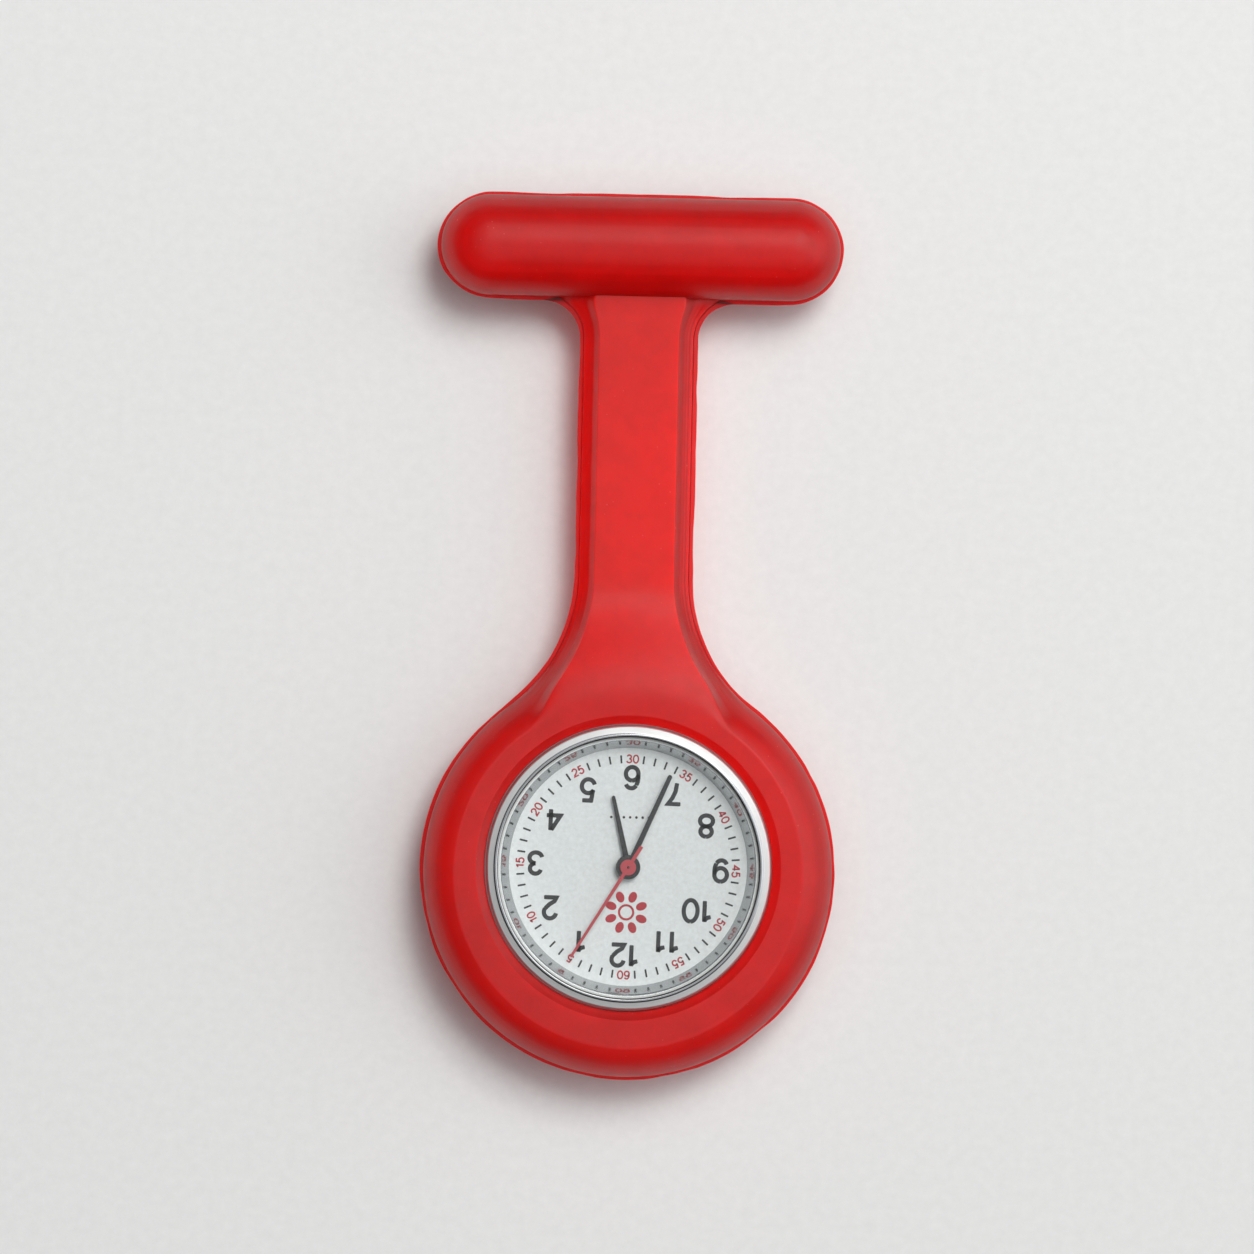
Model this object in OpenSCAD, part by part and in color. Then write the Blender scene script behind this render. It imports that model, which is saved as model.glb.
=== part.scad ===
// Nurse's fob watch: a silicone holder with a bar pin, and a quartz watch head in its pocket.
// The watch lies on its back: +Z is out of the dial, +Y runs from the watch to the pin bar.
// The dial hangs upside down on the wearer, so its 12 points to -Y and its crown to -X.

/* [Holder] */
// Outer radius of the ring round the watch
ring_r = 20.6; // [20:0.05:21.5]
// Thickness of the ring
ring_h = 9.8; // [9.8:0.1:10.2]
// From the ring's centre to the bar's axis
bar_offset = 61.8; // [55:0.1:70]
// How far the watch sits from the ring's centre, toward the bar
head_rise = 0.6; // [0:0.1:0.8]
// Radius of the bar
bar_r = 5.35; // [5.2:0.05:5.8]
// Length of the bar over its round ends
bar_l = 40.3; // [39.5:0.1:42]
// Width of the strap
strap_w = 11.8; // [9.5:0.1:13]
// Thickness of the strap
strap_h = 3.8; // [3:0.1:5]
// Radius of the concave flare from the strap to the ring
neck_r = 16.2; // [14:0.1:18]
// Radius of the fillet from the strap to the bar
fillet_r = 3.6; // [2.5:0.1:5]

/* [Watch head] */
// Outer radius of the metal case inside the pocket
case_r = 14.75; // [14.7:0.05:14.8]
// Outer radius of the bezel that shows in the front opening
bezel_r = 14.05; // [14:0.01:14.1]
// Radius of the dial that shows inside the flange
dial_view_r = 11.75; // [11.4:0.05:12]

/* [Hands] */
// Length of the hour hand
hour_hand_l = 7.2; // [5:0.1:8]
// Length of the minute hand
minute_hand_l = 10; // [8:0.1:11]
// Length of the seconds hand
seconds_hand_l = 10.5; // [9:0.1:11.4]
// Time shown at rest: hours
shown_hour = 5; // [0:1:11]
// Time shown at rest: minutes
shown_minute = 33.85; // [0:0.05:59.95]
// Time shown at rest: seconds
shown_second = 5.25; // [0:0.25:59.75]

/* [Hidden] */
$fn = 64;
eps = 0.01;     // overrun of a cut past the face it opens

// Places of the two ends of the holder, with the whole length centred on the origin
holder_l = ring_r + bar_offset + bar_r;
ring_y = ring_r - holder_l / 2;
watch_y = ring_y + head_rise;
bar_y = holder_l / 2 - bar_r;

// Heights of the holder. It is moulded in two halves that meet at part_z.
part_z = ring_h / 2;
ridge_r = 17.2;         // where the ring's flat face ends and its round side begins
front_opening_r = 14.15;
front_lip_r = 14.95;    // outer edge of the bevel round the front opening
front_lip_drop = 0.45;
back_opening_r = 11.6;
pocket_r = case_r + 0.05;
pocket_z = [1.2, 8.4];
land_h = 0.7;           // upright edge at the parting plane, before the chamfer starts
chamfer_slope = 0.63;   // how far the chamfer comes in for each unit that it climbs
crown_room = [2.3, 18]; // radius and outer end of the cavity for the crown

// Bar pin inside the holder's bar
window = [31, 3.6];       // slot in the back of the bar
bar_cavity = [31, 5.2];   // room behind the slot
cavity_z = [0.9, 5.9];
pin_bar_size = [35, 4, 0.6];
pin_bar_z = 5.2;
pin_z = 2.7;              // height of the needle and of its rivet
pin_hinge_x = -13;
needle_r = 0.45;
needle_tip_x = 14.4;
rivet_r = 0.4;
ear_gap = 1.5;
ear_t = 0.6;
catch_x = [11, 13.6];
catch_slot = 1.3;
roller_x = [10.7, 14.6];
roller_r = 1.4;

// Heights in the watch head
case_z = [1.25, 8.35];
case_bore_r = 13.15;
neck_z = 9.1;
dial_z = [6.4, 6.8];
dial_r = 13.08;
crystal_z = [8.32, 9.5];
crystal_r = 12.7;
stem_z = 5.1;

// Movement outline
movement_r = 9.6;
movement_flat = 8.3;
plate_z = [4.9, 6.3];
bridge_z = [3, 3.3];

// Gears: teeth, and the module that fits them between their arbors
third_d = 2.8;
fifth_d = 2.85;
rotor_d = 2.3;
motion_d = 2;
centre_n = 60;
third_n = 64;
seconds_n = 40;
fifth_n = 48;
leaves_n = 8;
cannon_n = 10;
minute_wheel_n = 30;
hour_wheel_n = 32;
setting_n = 20;
centre_m = 2 * third_d / (centre_n + leaves_n);
third_m = 2 * third_d / (third_n + leaves_n);
seconds_m = 2 * fifth_d / (seconds_n + leaves_n);
fifth_m = 2 * rotor_d / (fifth_n + leaves_n);
motion_m = 2 * motion_d / (cannon_n + minute_wheel_n);

// Places of the arbors, from the watch's axis
function polar(r, a) = [r * cos(a), r * sin(a)];
third_a = 125;
fifth_a = -70;
rotor_a = -50;
minute_wheel_a = 150;
third_at = polar(third_d, third_a);
fifth_at = polar(fifth_d, fifth_a);
rotor_at = fifth_at + polar(rotor_d, rotor_a);
minute_wheel_at = polar(motion_d, minute_wheel_a);
setting_d = motion_m * (minute_wheel_n + setting_n) / 2;
setting_at = [minute_wheel_at[0] - sqrt(setting_d ^ 2 - minute_wheel_at[1] ^ 2), 0];
setting_a = atan2(-minute_wheel_at[1], setting_at[0] - minute_wheel_at[0]);

// Arbor and pipe radii
arbor_r = 0.15;
seconds_arbor_r = 0.12;
centre_pipe = [0.36, 0.17];
hour_pipe = [0.62, 0.4];

// Keyless works
crown_travel = 0.7;
clutch_travel = 0.35;
groove_x = -7.6;
lever_pivot = [groove_x - crown_travel / 2, -1.7];
yoke_stud = [-6.8, 1.95];
keyless_pocket_z = 4.25;
keyless_pocket_x = [-8.9, -5.05];
cover_z = [5.9, 6.05];
cover_screws_at = [[-6.9, 3.9], [-6.9, -3.5]];

// Electric parts
battery_at = [5, 3.3];
battery_r = 3.4;
battery_z = [3, 5.6];
coil_y = -6.9;
coil_z = 4.3;
coil_r = 0.9;
coil_l = 7.8;
stator_z = [3.5, 4.05];
screws_at = [[-0.6, 7], [6.6, -3.2], [-4.6, -3.2]];
dial_feet_at = [[-5.9, 5.4], [6.6, -4.6]];

// Angles of the hands, clockwise from 12
minute_a = 6 * (shown_minute + shown_second / 60);
hour_a = 30 * (shown_hour + minute_a / 360);
second_a = 6 * shown_second;

// Phase of the second gear of a pair, so that its gap meets a tooth of the first.
// dir is the way from the first gear's centre to the second's.
function meshed_phase(dir, n1, phase1, n2) =
    dir + 180 - (0.5 - (dir - phase1) * n1 / 360) * 360 / n2;

// ---------- helpers ----------

module at(p) translate([p[0], p[1], 0]) children();
module at_watch() translate([0, watch_y, 0]) children();
module at_ring() translate([0, ring_y, 0]) children();
module at_bar() translate([0, bar_y, 0]) children();
module disc(r, z) translate([0, 0, z[0]]) cylinder(r = r, h = z[1] - z[0]);
module tube(r_out, r_in, z) difference() {
    disc(r_out, z);
    disc(r_in, [z[0] - eps, z[1] + eps]);
}
function around(middle, half) = [middle - half, middle + half];
module block(x, y, z) translate([x[0], y[0], z[0]]) cube([x[1] - x[0], y[1] - y[0], z[1] - z[0]]);
module rod_x(x, r, z) translate([x[0], 0, z]) rotate([0, 90, 0]) cylinder(r = r, h = x[1] - x[0]);
module rod_y(y, r, x, z) translate([x, y[0], z]) rotate([-90, 0, 0]) cylinder(r = r, h = y[1] - y[0]);

// Gear with plain trapezoid teeth, one tooth centred on the angle phase
module gear(n, m, z, phase = 0) {
    pitch_r = m * n / 2;
    step = 360 / n;
    profile = [[-0.36, -1.1], [-0.22, 0], [-0.1, 0.85], [0.1, 0.85], [0.22, 0], [0.36, -1.1]];
    translate([0, 0, z[0]]) linear_extrude(z[1] - z[0])
        polygon([for (i = [0:n - 1], p = profile) polar(pitch_r + p[1] * m, phase + (i + p[0]) * step)]);
}

// Wheel with crossed-out rim, hub and bore
module wheel(n, m, z, bore_r, phase = 0, windows = 4, hub = 0.6) {
    rim_r = m * n / 2 - 3.2 * m;
    difference() {
        gear(n, m, z, phase);
        disc(bore_r, [z[0] - eps, z[1] + eps]);
        for (i = [0:1:windows - 1]) rotate(i * 360 / windows)
            translate([(rim_r + hub) / 2, 0, z[0] - eps])
                cylinder(r = (rim_r - hub) / 2 * 0.86, h = z[1] - z[0] + 2 * eps);
    }
}

// Turns children, drawn along +X, to an angle of the dial
module at_dial_angle(a) rotate(-90 - a) children();

// ---------- silicone holder ----------

// Half section of the ring: flat faces inside the ridge, one round side outside it
module ring_section() {
    side_c = (ring_r ^ 2 - ridge_r ^ 2 - part_z ^ 2) / (2 * (ring_r - ridge_r));
    inner_r = back_opening_r - 1;
    intersection() {
        translate([side_c, part_z]) circle(r = ring_r - side_c);
        translate([inner_r, 0]) square([ring_r, ring_h]);
    }
    translate([inner_r, 0]) square([ridge_r - inner_r, ring_h]);
}

module ring_cuts() {
    disc(back_opening_r, [-eps, ring_h + eps]);
    disc(pocket_r, pocket_z);
    disc(front_opening_r, [pocket_z[0], ring_h + eps]);
    translate([0, 0, ring_h - front_lip_drop])
        cylinder(r1 = front_opening_r, r2 = front_lip_r + eps, h = front_lip_drop + eps);
    rod_x([-crown_room[1], -pocket_r + 1], crown_room[0], stem_z);
}

// Strap section across its width, chamfered up and down from the parting plane
module strap_section(width, top) {
    inset = chamfer_slope * (top - part_z - land_h / 2);
    half = [
        [width / 2, part_z + land_h / 2], [width / 2 - inset, top],
        [-width / 2 + inset, top], [-width / 2, part_z + land_h / 2]
    ];
    polygon(concat(half, [for (i = [3:-1:0]) [half[i][0], 2 * part_z - half[i][1]]]));
}

// Cutter for one concave fillet: a cylinder at the parting plane that opens into a cone each way
module fillet_cutter(r) {
    h = part_z + 1;
    disc(r, [part_z - land_h / 2 - eps, part_z + land_h / 2 + eps]);
    for (side = [0, 1]) translate([0, 0, part_z]) mirror([0, 0, side])
        translate([0, 0, land_h / 2]) cylinder(r1 = r, r2 = r + chamfer_slope * h, h = h);
}

// Side view of the neck, which thickens from the strap to the ring
module neck_side(y_ring, y_strap) {
    top = part_z + strap_h / 2;
    rise = ring_h - 0.1;
    mid = (y_ring + y_strap) / 2;
    up = [[0, rise], [y_ring, rise], [mid - 2, (rise + top) / 2 + 0.35], [mid + 1.5, top + 0.3],
          [y_strap, top]];
    polygon(concat(up, [for (i = [4:-1:0]) [up[i][0], 2 * part_z - up[i][1]]]));
}

module silicone_holder() {
    neck_x = strap_w / 2 + neck_r;
    neck_y = sqrt((ring_r + neck_r) ^ 2 - neck_x ^ 2);
    neck_half = ring_r * neck_x / (ring_r + neck_r);
    fillet_x = strap_w / 2 + fillet_r;
    fillet_y = bar_y - bar_r - fillet_r;
    color([0.8, 0.08, 0.07]) difference() {
        union() {
            at_ring() rotate_extrude() ring_section();
            // neck
            at_ring() difference() {
                rotate([90, 0, 90]) translate([0, 0, -neck_half]) linear_extrude(2 * neck_half)
                    neck_side(ridge_r, neck_y);
                for (side = [-1, 1]) translate([side * neck_x, neck_y, 0]) fillet_cutter(neck_r);
            }
            // strap
            translate([0, bar_y, 0]) rotate([90, 0, 0])
                linear_extrude(bar_y - ring_y - neck_y + eps) strap_section(strap_w, part_z + strap_h / 2);
            // fillets to the bar
            difference() {
                block([-fillet_x, fillet_x], [fillet_y, bar_y - bar_r + 1.5],
                      [part_z - strap_h / 2, part_z + strap_h / 2]);
                for (side = [-1, 1]) translate([side * fillet_x, fillet_y, 0]) fillet_cutter(fillet_r);
            }
            // bar, flat where it lies on its back
            at_bar() intersection() {
                union() {
                    rod_x([bar_r - bar_l / 2, bar_l / 2 - bar_r], bar_r, part_z);
                    for (side = [-1, 1]) translate([side * (bar_l / 2 - bar_r), 0, part_z]) sphere(r = bar_r);
                }
                block([-bar_l, bar_l], [-bar_r - 1, bar_r + 1], [0, ring_h + bar_r]);
            }
        }
        at_watch() ring_cuts();
        at_bar() {
            block(window[0] * [-0.5, 0.5], window[1] * [-0.5, 0.5], [-eps, cavity_z[0] + eps]);
            block(bar_cavity[0] * [-0.5, 0.5], bar_cavity[1] * [-0.5, 0.5], cavity_z);
            block((pin_bar_size[0] / 2 + 0.1) * [-1, 1], (pin_bar_size[1] / 2 + 0.1) * [-1, 1],
                  [pin_bar_z - 0.1, pin_bar_z + pin_bar_size[2] + 0.1]);
        }
    }
}

// ---------- bar pin ----------

module pin_bar() color("silver") at_bar() {
    difference() {
        block(pin_bar_size[0] / 2 * [-1, 1], pin_bar_size[1] / 2 * [-1, 1],
              [pin_bar_z, pin_bar_z + pin_bar_size[2]]);
        for (x = [-16, 16]) translate([x, 0, pin_bar_z - 1]) cylinder(r = 0.7, h = 3);
    }
    for (side = [-1, 1]) difference() {
        union() {
            block([pin_hinge_x - 1.1, pin_hinge_x + 1.1],
                  side > 0 ? [ear_gap / 2, ear_gap / 2 + ear_t] : [-ear_gap / 2 - ear_t, -ear_gap / 2],
                  [pin_z, pin_bar_z + eps]);
            rod_y(side > 0 ? [ear_gap / 2, ear_gap / 2 + ear_t] : [-ear_gap / 2 - ear_t, -ear_gap / 2],
                  1.1, pin_hinge_x, pin_z);
        }
        rod_y([-3, 3], rivet_r, pin_hinge_x, pin_z);
    }
}

module pin_hinge_rivet() color("silver") at_bar() {
    end = ear_gap / 2 + ear_t;
    rod_y([-end, end], rivet_r, pin_hinge_x, pin_z);
    for (y = [[-end - 0.25, -end], [end, end + 0.25]]) rod_y(y, rivet_r + 0.25, pin_hinge_x, pin_z);
}

module pin_needle() color("silver") at_bar() {
    point_l = 2.2;
    difference() {
        union() {
            rod_x([pin_hinge_x, needle_tip_x - point_l], needle_r, pin_z);
            translate([needle_tip_x - point_l, 0, pin_z]) rotate([0, 90, 0])
                cylinder(r1 = needle_r, r2 = 0.06, h = point_l);
            rod_y([-0.65, 0.65], 0.95, pin_hinge_x, pin_z);
        }
        rod_y([-2, 2], rivet_r + 0.03, pin_hinge_x, pin_z);
    }
}

// Fixed tube with a slot that the needle drops into
module catch_housing() color("silver") at_bar() difference() {
    union() {
        rod_x(catch_x, 1.9, pin_z);
        block(catch_x, [-0.9, 0.9], [pin_z, pin_bar_z]);
    }
    rod_x([catch_x[0] - eps, catch_x[1] + eps], roller_r + 0.04, pin_z);
    block([catch_x[0] - eps, catch_x[1] + eps], catch_slot * [-0.5, 0.5], [pin_z - 3, pin_z]);
}

// Roller that turns to shut the slot, with a thumb tab and two collars
module catch_roller() color("silver") at_bar() {
    slot = 1.2;
    difference() {
        union() {
            rod_x(roller_x, roller_r, pin_z);
            rod_x([catch_x[1] + 0.05, roller_x[1]], roller_r + 0.25, pin_z);
            block([catch_x[1] + 0.05, roller_x[1]], [0, 2.3], [pin_z - 0.35, pin_z + 0.35]);
        }
        rod_x([roller_x[0] - eps, roller_x[1] + eps], slot / 2, pin_z);
        block([roller_x[0] - eps, roller_x[1] + eps], slot * [-0.5, 0.5], [pin_z - 3, pin_z]);
    }
}

// ---------- watch case ----------

module case_middle() color("silver") difference() {
    union() {
        disc(case_r, case_z);
        disc(13.5, [case_z[1] - eps, neck_z]);
    }
    disc(13.9, [case_z[0] - eps, 2.2]);
    disc(case_bore_r, [2, 8.1]);
    disc(12.55, [8, neck_z + eps]);
    disc(13.05, [8.3, neck_z + eps]);
    rod_x([-case_r - 1, -case_bore_r + 1], 0.85, stem_z);
}

module bezel() color("gainsboro") rotate_extrude() difference() {
    union() {
        translate([13.1, 8.4]) square([bezel_r - 13.1, 0.75]);
        intersection() {
            translate([12.8, 9.1]) square([bezel_r - 12.8, 0.6]);
            translate([13.35, 7.75]) circle(r = 1.85);
        }
    }
    translate([0, 8]) square([13.55, neck_z + 0.05 - 8]);
}

module crystal() color([0.85, 0.93, 0.95, 0.35]) {
    edge = 0.12;
    disc(crystal_r, [crystal_z[0], crystal_z[1] - edge]);
    translate([0, 0, crystal_z[1] - edge]) cylinder(r1 = crystal_r, r2 = crystal_r - edge, h = edge);
}

module crystal_gasket() color("white") tube(13.05, crystal_r, [8.3, 9.08]);

// Polished sloping ring between the dial and the crystal
module flange_ring() color("silver") difference() {
    disc(13.1, [dial_z[1], 8.08]);
    translate([0, 0, dial_z[1] - eps])
        cylinder(r1 = dial_view_r, r2 = 12.52, h = 8.08 - dial_z[1] + 2 * eps);
}

module dial() color("whitesmoke") {
    tube(dial_r, 0.8, dial_z);
    for (p = dial_feet_at) at(p) disc(0.35, [5.6, dial_z[0] + eps]);
}

module dial_washer() color("gold") tube(1.35, 0.72, [6.2, 6.26]);

module case_back() color("silver") difference() {
    union() {
        disc(13.85, [1.27, 1.87]);
        disc(11.2, [0.7, 1.3]);
        tube(13.1, 12.6, [1.8, 2.5]);
    }
    disc(10.5, [1.3, 2]);
    // notch for a case knife
    translate([13.2, -0.9, 1]) cube([1, 1.8, 0.45]);
}

module case_back_gasket() color("dimgray") rotate_extrude() translate([13.5, 2.03]) circle(r = 0.15);

module movement_holder() color("white") difference() {
    disc(13.05, [2.6, 6.35]);
    intersection() {
        disc(movement_r + 0.05, [2, 7]);
        block([-10, 10], (movement_flat + 0.05) * [-1, 1], [2, 7]);
    }
    rod_x([-14, -9], 0.75, stem_z);
}

// ---------- crown and keyless works ----------

module crown() color("silver") difference() {
    rod_x([-17, -15], 1.9, stem_z);
    rod_x([-16.7, -15 + eps], 1.2, stem_z);
    rod_x([-16.8, -16], 0.4, stem_z);
    for (i = [0:23]) translate([0, 0, stem_z]) rotate([i * 15, 0, 0])
        translate([-16.8, 0, 1.95]) rotate([0, 90, 0]) cylinder(r = 0.14, h = 2, $fn = 16);
}

module crown_tube() color("silver") difference() {
    rod_x([-16.4, -13.2], 0.85, stem_z);
    rod_x([-17, -13], 0.55, stem_z);
}

module crown_o_ring() color("black") translate([-15.2, 0, stem_z]) rotate([0, 90, 0])
    rotate_extrude() translate([1.025, 0]) circle(r = 0.165);

module stem() color("silver") {
    rod_x([-5.2, -3.4], 0.3, stem_z);
    translate([-7.3, -0.31, stem_z - 0.31]) cube([2.15, 0.62, 0.62]);
    rod_x([-7.4, -7.3 + eps], 0.45, stem_z);
    rod_x([groove_x - 0.25, groove_x + 0.25], 0.22, stem_z);
    rod_x([-9.9, groove_x - 0.25 + eps], 0.45, stem_z);
    rod_x([-16.8, -9.85], 0.4, stem_z);
}

// Slides on the stem's square and turns with it. Its end teeth face the setting wheel.
module clutch_wheel() color("goldenrod") difference() {
    union() {
        rod_x([-6.6, -6.25], 0.75, stem_z);
        rod_x([-6.3, -5.85], 0.52, stem_z);
        rod_x([-5.9, -5.5], 0.75, stem_z);
    }
    translate([-7, -0.34, stem_z - 0.34]) cube([2, 0.68, 0.68]);
    for (i = [0:3]) translate([0, 0, stem_z]) rotate([i * 45, 0, 0])
        translate([-5.65, -0.1, -1]) cube([0.2, 0.2, 2]);
}

// Forked slide that shifts the clutch wheel
module yoke() color("silver") difference() {
    union() {
        block([-7.9, -5.6], [1.3, 2.6], [4.9, 5.3]);
        block([-6.19, -5.97], [0.56, 1.4], [4.95, 5.25]);
    }
    block([yoke_stud[0] - 0.3 - clutch_travel, yoke_stud[0] + 0.3], around(yoke_stud[1], 0.28), [4, 6]);
}

// Its post drops into the stem's groove
module setting_lever() color("silver") {
    reach = -lever_pivot[1];
    lean = asin(crown_travel / 2 / reach);
    difference() {
        at(lever_pivot) union() {
            disc(0.6, [5.6, 5.75]);
            rotate(-lean) block([-0.28, 0.28], [0, reach], [5.6, 5.75]);
            rotate(-lean) translate([0, reach, 0]) disc(0.28, [5.6, 5.75]);
            rotate(-lean) translate([0, reach, 0]) disc(0.15, [5.37, 5.65]);
        }
        at(lever_pivot) disc(0.33, [5, 6]);
    }
}

// Plate over the keyless works, held by two screws from the dial side
module keyless_cover() color("silver") difference() {
    union() {
        block([-8.9, -5.35], [-2.85, 3.2], cover_z);
        for (p = cover_screws_at) at(p) disc(0.9, cover_z);
    }
    for (p = cover_screws_at) at(p) disc(0.28, around(cover_z[0], 1));
}

module cover_screws() color("silver") for (p = cover_screws_at) at(p) difference() {
    union() {
        disc(0.6, [cover_z[1], cover_z[1] + 0.22]);
        disc(0.25, [5, cover_z[1] + eps]);
    }
    block([-1, 1], [-0.1, 0.1], [cover_z[1] + 0.12, 7]);
}

module setting_wheel() color("goldenrod") at(setting_at)
    wheel(setting_n, motion_m, [5.65, 5.8], 0.33,
          meshed_phase(setting_a, minute_wheel_n, minute_wheel_phase(), setting_n), 0);

// ---------- hands and the gears under the dial ----------

function minute_wheel_phase() = meshed_phase(minute_wheel_a, cannon_n, 0, minute_wheel_n);

module minute_wheel() color("goldenrod") at(minute_wheel_at) {
    back_a = minute_wheel_a + 180;
    wheel(minute_wheel_n, motion_m, [5.65, 5.8], 0.22, minute_wheel_phase(), 0);
    difference() {
        gear(leaves_n, motion_m, [5.8, 6.15], back_a);
        disc(0.22, [5, 7]);
    }
}

module hour_wheel() color("goldenrod") {
    wheel(hour_wheel_n, motion_m, [5.93, 6.1], hour_pipe[1],
          meshed_phase(minute_wheel_a + 180, leaves_n, minute_wheel_a + 180, hour_wheel_n), 0);
    tube(hour_pipe[0], hour_pipe[1], [6, 7.35]);
}

module centre_wheel() color("goldenrod") {
    wheel(centre_n, centre_m, [4.6, 4.75], centre_pipe[1], 0, 5, 0.7);
    tube(0.7, centre_pipe[1], [4.5, 4.85]);
    tube(centre_pipe[0], centre_pipe[1], [4.8, 7.7]);
    difference() {
        gear(cannon_n, motion_m, [5.62, 5.9]);
        disc(centre_pipe[1], [5, 7]);
    }
}

module third_wheel() color("goldenrod") at(third_at) {
    wheel(third_n, third_m, [3.92, 4.07], arbor_r - eps, third_a + 180, 5);
    gear(leaves_n, centre_m, [4.35, 4.85], meshed_phase(third_a, centre_n, 0, leaves_n));
    disc(arbor_r, [3.05, 5.25]);
    disc(0.32, [3.75, 4.4]);
}

module seconds_wheel() color("goldenrod") {
    wheel(seconds_n, seconds_m, [3.5, 3.65], seconds_arbor_r - eps, fifth_a, 4);
    gear(leaves_n, third_m, [3.75, 4.25], meshed_phase(third_a + 180, third_n, third_a + 180, leaves_n));
    disc(seconds_arbor_r, [3.05, 8.05]);
    disc(0.26, [3.4, 3.8]);
}

module fifth_wheel() color("goldenrod") at(fifth_at) {
    wheel(fifth_n, fifth_m, [4.28, 4.4], arbor_r - eps, rotor_a, 4);
    gear(leaves_n, seconds_m, [3.4, 4.1], meshed_phase(fifth_a, seconds_n, fifth_a, leaves_n));
    disc(arbor_r, [3.05, 5.2]);
    disc(0.3, [4.05, 4.3]);
}

module rotor_pinion() color("silver") at(rotor_at) {
    gear(leaves_n, fifth_m, [4.15, 4.55], meshed_phase(rotor_a, fifth_n, rotor_a, leaves_n));
    disc(arbor_r, [3.05, 5.2]);
}

module rotor_magnet() color("dimgray") at(rotor_at) tube(0.75, arbor_r, [3.55, 4]);

// Hand blade along +X that tapers from one width to another and ends in a half circle
module blade(length, w_hub, w_tip, z) {
    end = length - w_tip / 2;
    translate([0, 0, z[0]]) linear_extrude(z[1] - z[0]) {
        polygon([[0, -w_hub / 2], [end, -w_tip / 2], [end, w_tip / 2], [0, w_hub / 2]]);
        translate([end, 0]) circle(d = w_tip);
    }
}

module hour_hand() color([0.09, 0.1, 0.1]) at_dial_angle(hour_a) difference() {
    union() {
        blade(hour_hand_l, 0.6, 0.36, [7.15, 7.3]);
        disc(1.2, [7.15, 7.3]);
    }
    disc(hour_pipe[0], [7, 8]);
}

module minute_hand() color([0.09, 0.1, 0.1]) at_dial_angle(minute_a) difference() {
    union() {
        blade(minute_hand_l, 0.56, 0.44, [7.5, 7.65]);
        disc(1.2, [7.5, 7.65]);
    }
    disc(centre_pipe[0], [7, 8]);
}

module seconds_hand() color([0.72, 0.1, 0.14]) at_dial_angle(second_a) difference() {
    tail = 2.45;
    union() {
        blade(seconds_hand_l, 0.36, 0.26, [7.85, 7.97]);
        block([-tail, 0], [-0.18, 0.18], [7.85, 7.97]);
        disc(0.78, [7.85, 7.97]);
        disc(0.3, [7.74, 7.97]);
    }
    disc(seconds_arbor_r, [7, 9]);
}

// ---------- movement ----------

module movement_outline(z) intersection() {
    disc(movement_r, z);
    block([-10, 10], movement_flat * [-1, 1], z);
}

module main_plate() color("ivory") {
    difference() {
        union() {
            movement_outline(plate_z);
            difference() {
                movement_outline([bridge_z[1], plate_z[0] + eps]);
                disc(movement_r - 0.6, [3, 5]);
                block([-6.5, 6.5], [-9, 9], [3, 5]);
            }
            // pad under the keyless works, reaching the rim
            intersection() {
                movement_outline([3.9, plate_z[0] + eps]);
                block([-10, -4.3], [-3, 3.5], [3, 5]);
            }
            block([-4.4, -3.2], [-0.75, 0.75], [4.45, plate_z[0] + eps]);
            for (p = screws_at) at(p) disc(0.7, [bridge_z[1], plate_z[0] + eps]);
        }
        at(battery_at) disc(battery_r + 0.1, [3, 5.9]);
        block([-4.4, 4.4], [-7.95, -5.85], [3, 5.35]);
        disc(centre_pipe[0] + 0.04, [4, 7]);
        for (p = [third_at, fifth_at, rotor_at]) at(p) disc(arbor_r + 0.03, [4, 5.35]);
        for (p = screws_at) at(p) disc(0.35, [3, 4.7]);
        for (p = dial_feet_at) at(p) disc(0.4, [5.5, 7]);
        // recesses for the gears under the dial
        disc(1.9, [5.88, 7]);
        disc(0.75, [5.57, 7]);
        at(minute_wheel_at) disc(1.75, [5.6, 7]);
        at(setting_at) disc(1.25, [5.6, 7]);
        // pocket and bores for the keyless works
        block(keyless_pocket_x, [-2.6, 3], [keyless_pocket_z, 7]);
        block([-8.95, -5.3], [-2.9, 3.25], [cover_z[0], 7]);
        for (p = cover_screws_at) at(p) {
            disc(0.95, [cover_z[0], 7]);
            disc(0.25, [5, 7]);
        }
        rod_x([-10, -8.8], 0.48, stem_z);
        rod_x([-5.3, -3.3], 0.33, stem_z);
    }
    at(minute_wheel_at) disc(0.2, [5.55, 6.2]);
    at(setting_at) disc(0.3, [5.55, 6]);
    at(lever_pivot) {
        disc(0.5, [keyless_pocket_z - eps, 5.58]);
        disc(0.3, [5.5, cover_z[0]]);
    }
    at(yoke_stud) {
        disc(0.5, [keyless_pocket_z - eps, 4.88]);
        disc(0.25, [4.8, 5.5]);
    }
}

module train_bridge() color("silver") difference() {
    union() {
        disc(2.4, bridge_z);
        at(third_at) disc(2.2, bridge_z);
        at(rotor_at) disc(1.7, bridge_z);
        for (p = screws_at) at(p) disc(1.2, bridge_z);
        block([-1.7, 0.5], [2, 7], bridge_z);
        block([-4.6, 0], [-4, -2], bridge_z);
        block([0, 6.6], [-4.2, -2.2], bridge_z);
    }
    for (p = [[0, 0], third_at, fifth_at, rotor_at]) at(p) disc(0.45, [2, 4]);
    for (p = screws_at) at(p) disc(0.4, [2, 4]);
    at(battery_at) disc(battery_r + 0.1, [2, 4]);
}

module bridge_bushes() color("crimson") {
    tube(0.45, seconds_arbor_r + 0.02, bridge_z);
    for (p = [third_at, fifth_at, rotor_at]) at(p) tube(0.45, arbor_r + 0.02, bridge_z);
}

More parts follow.
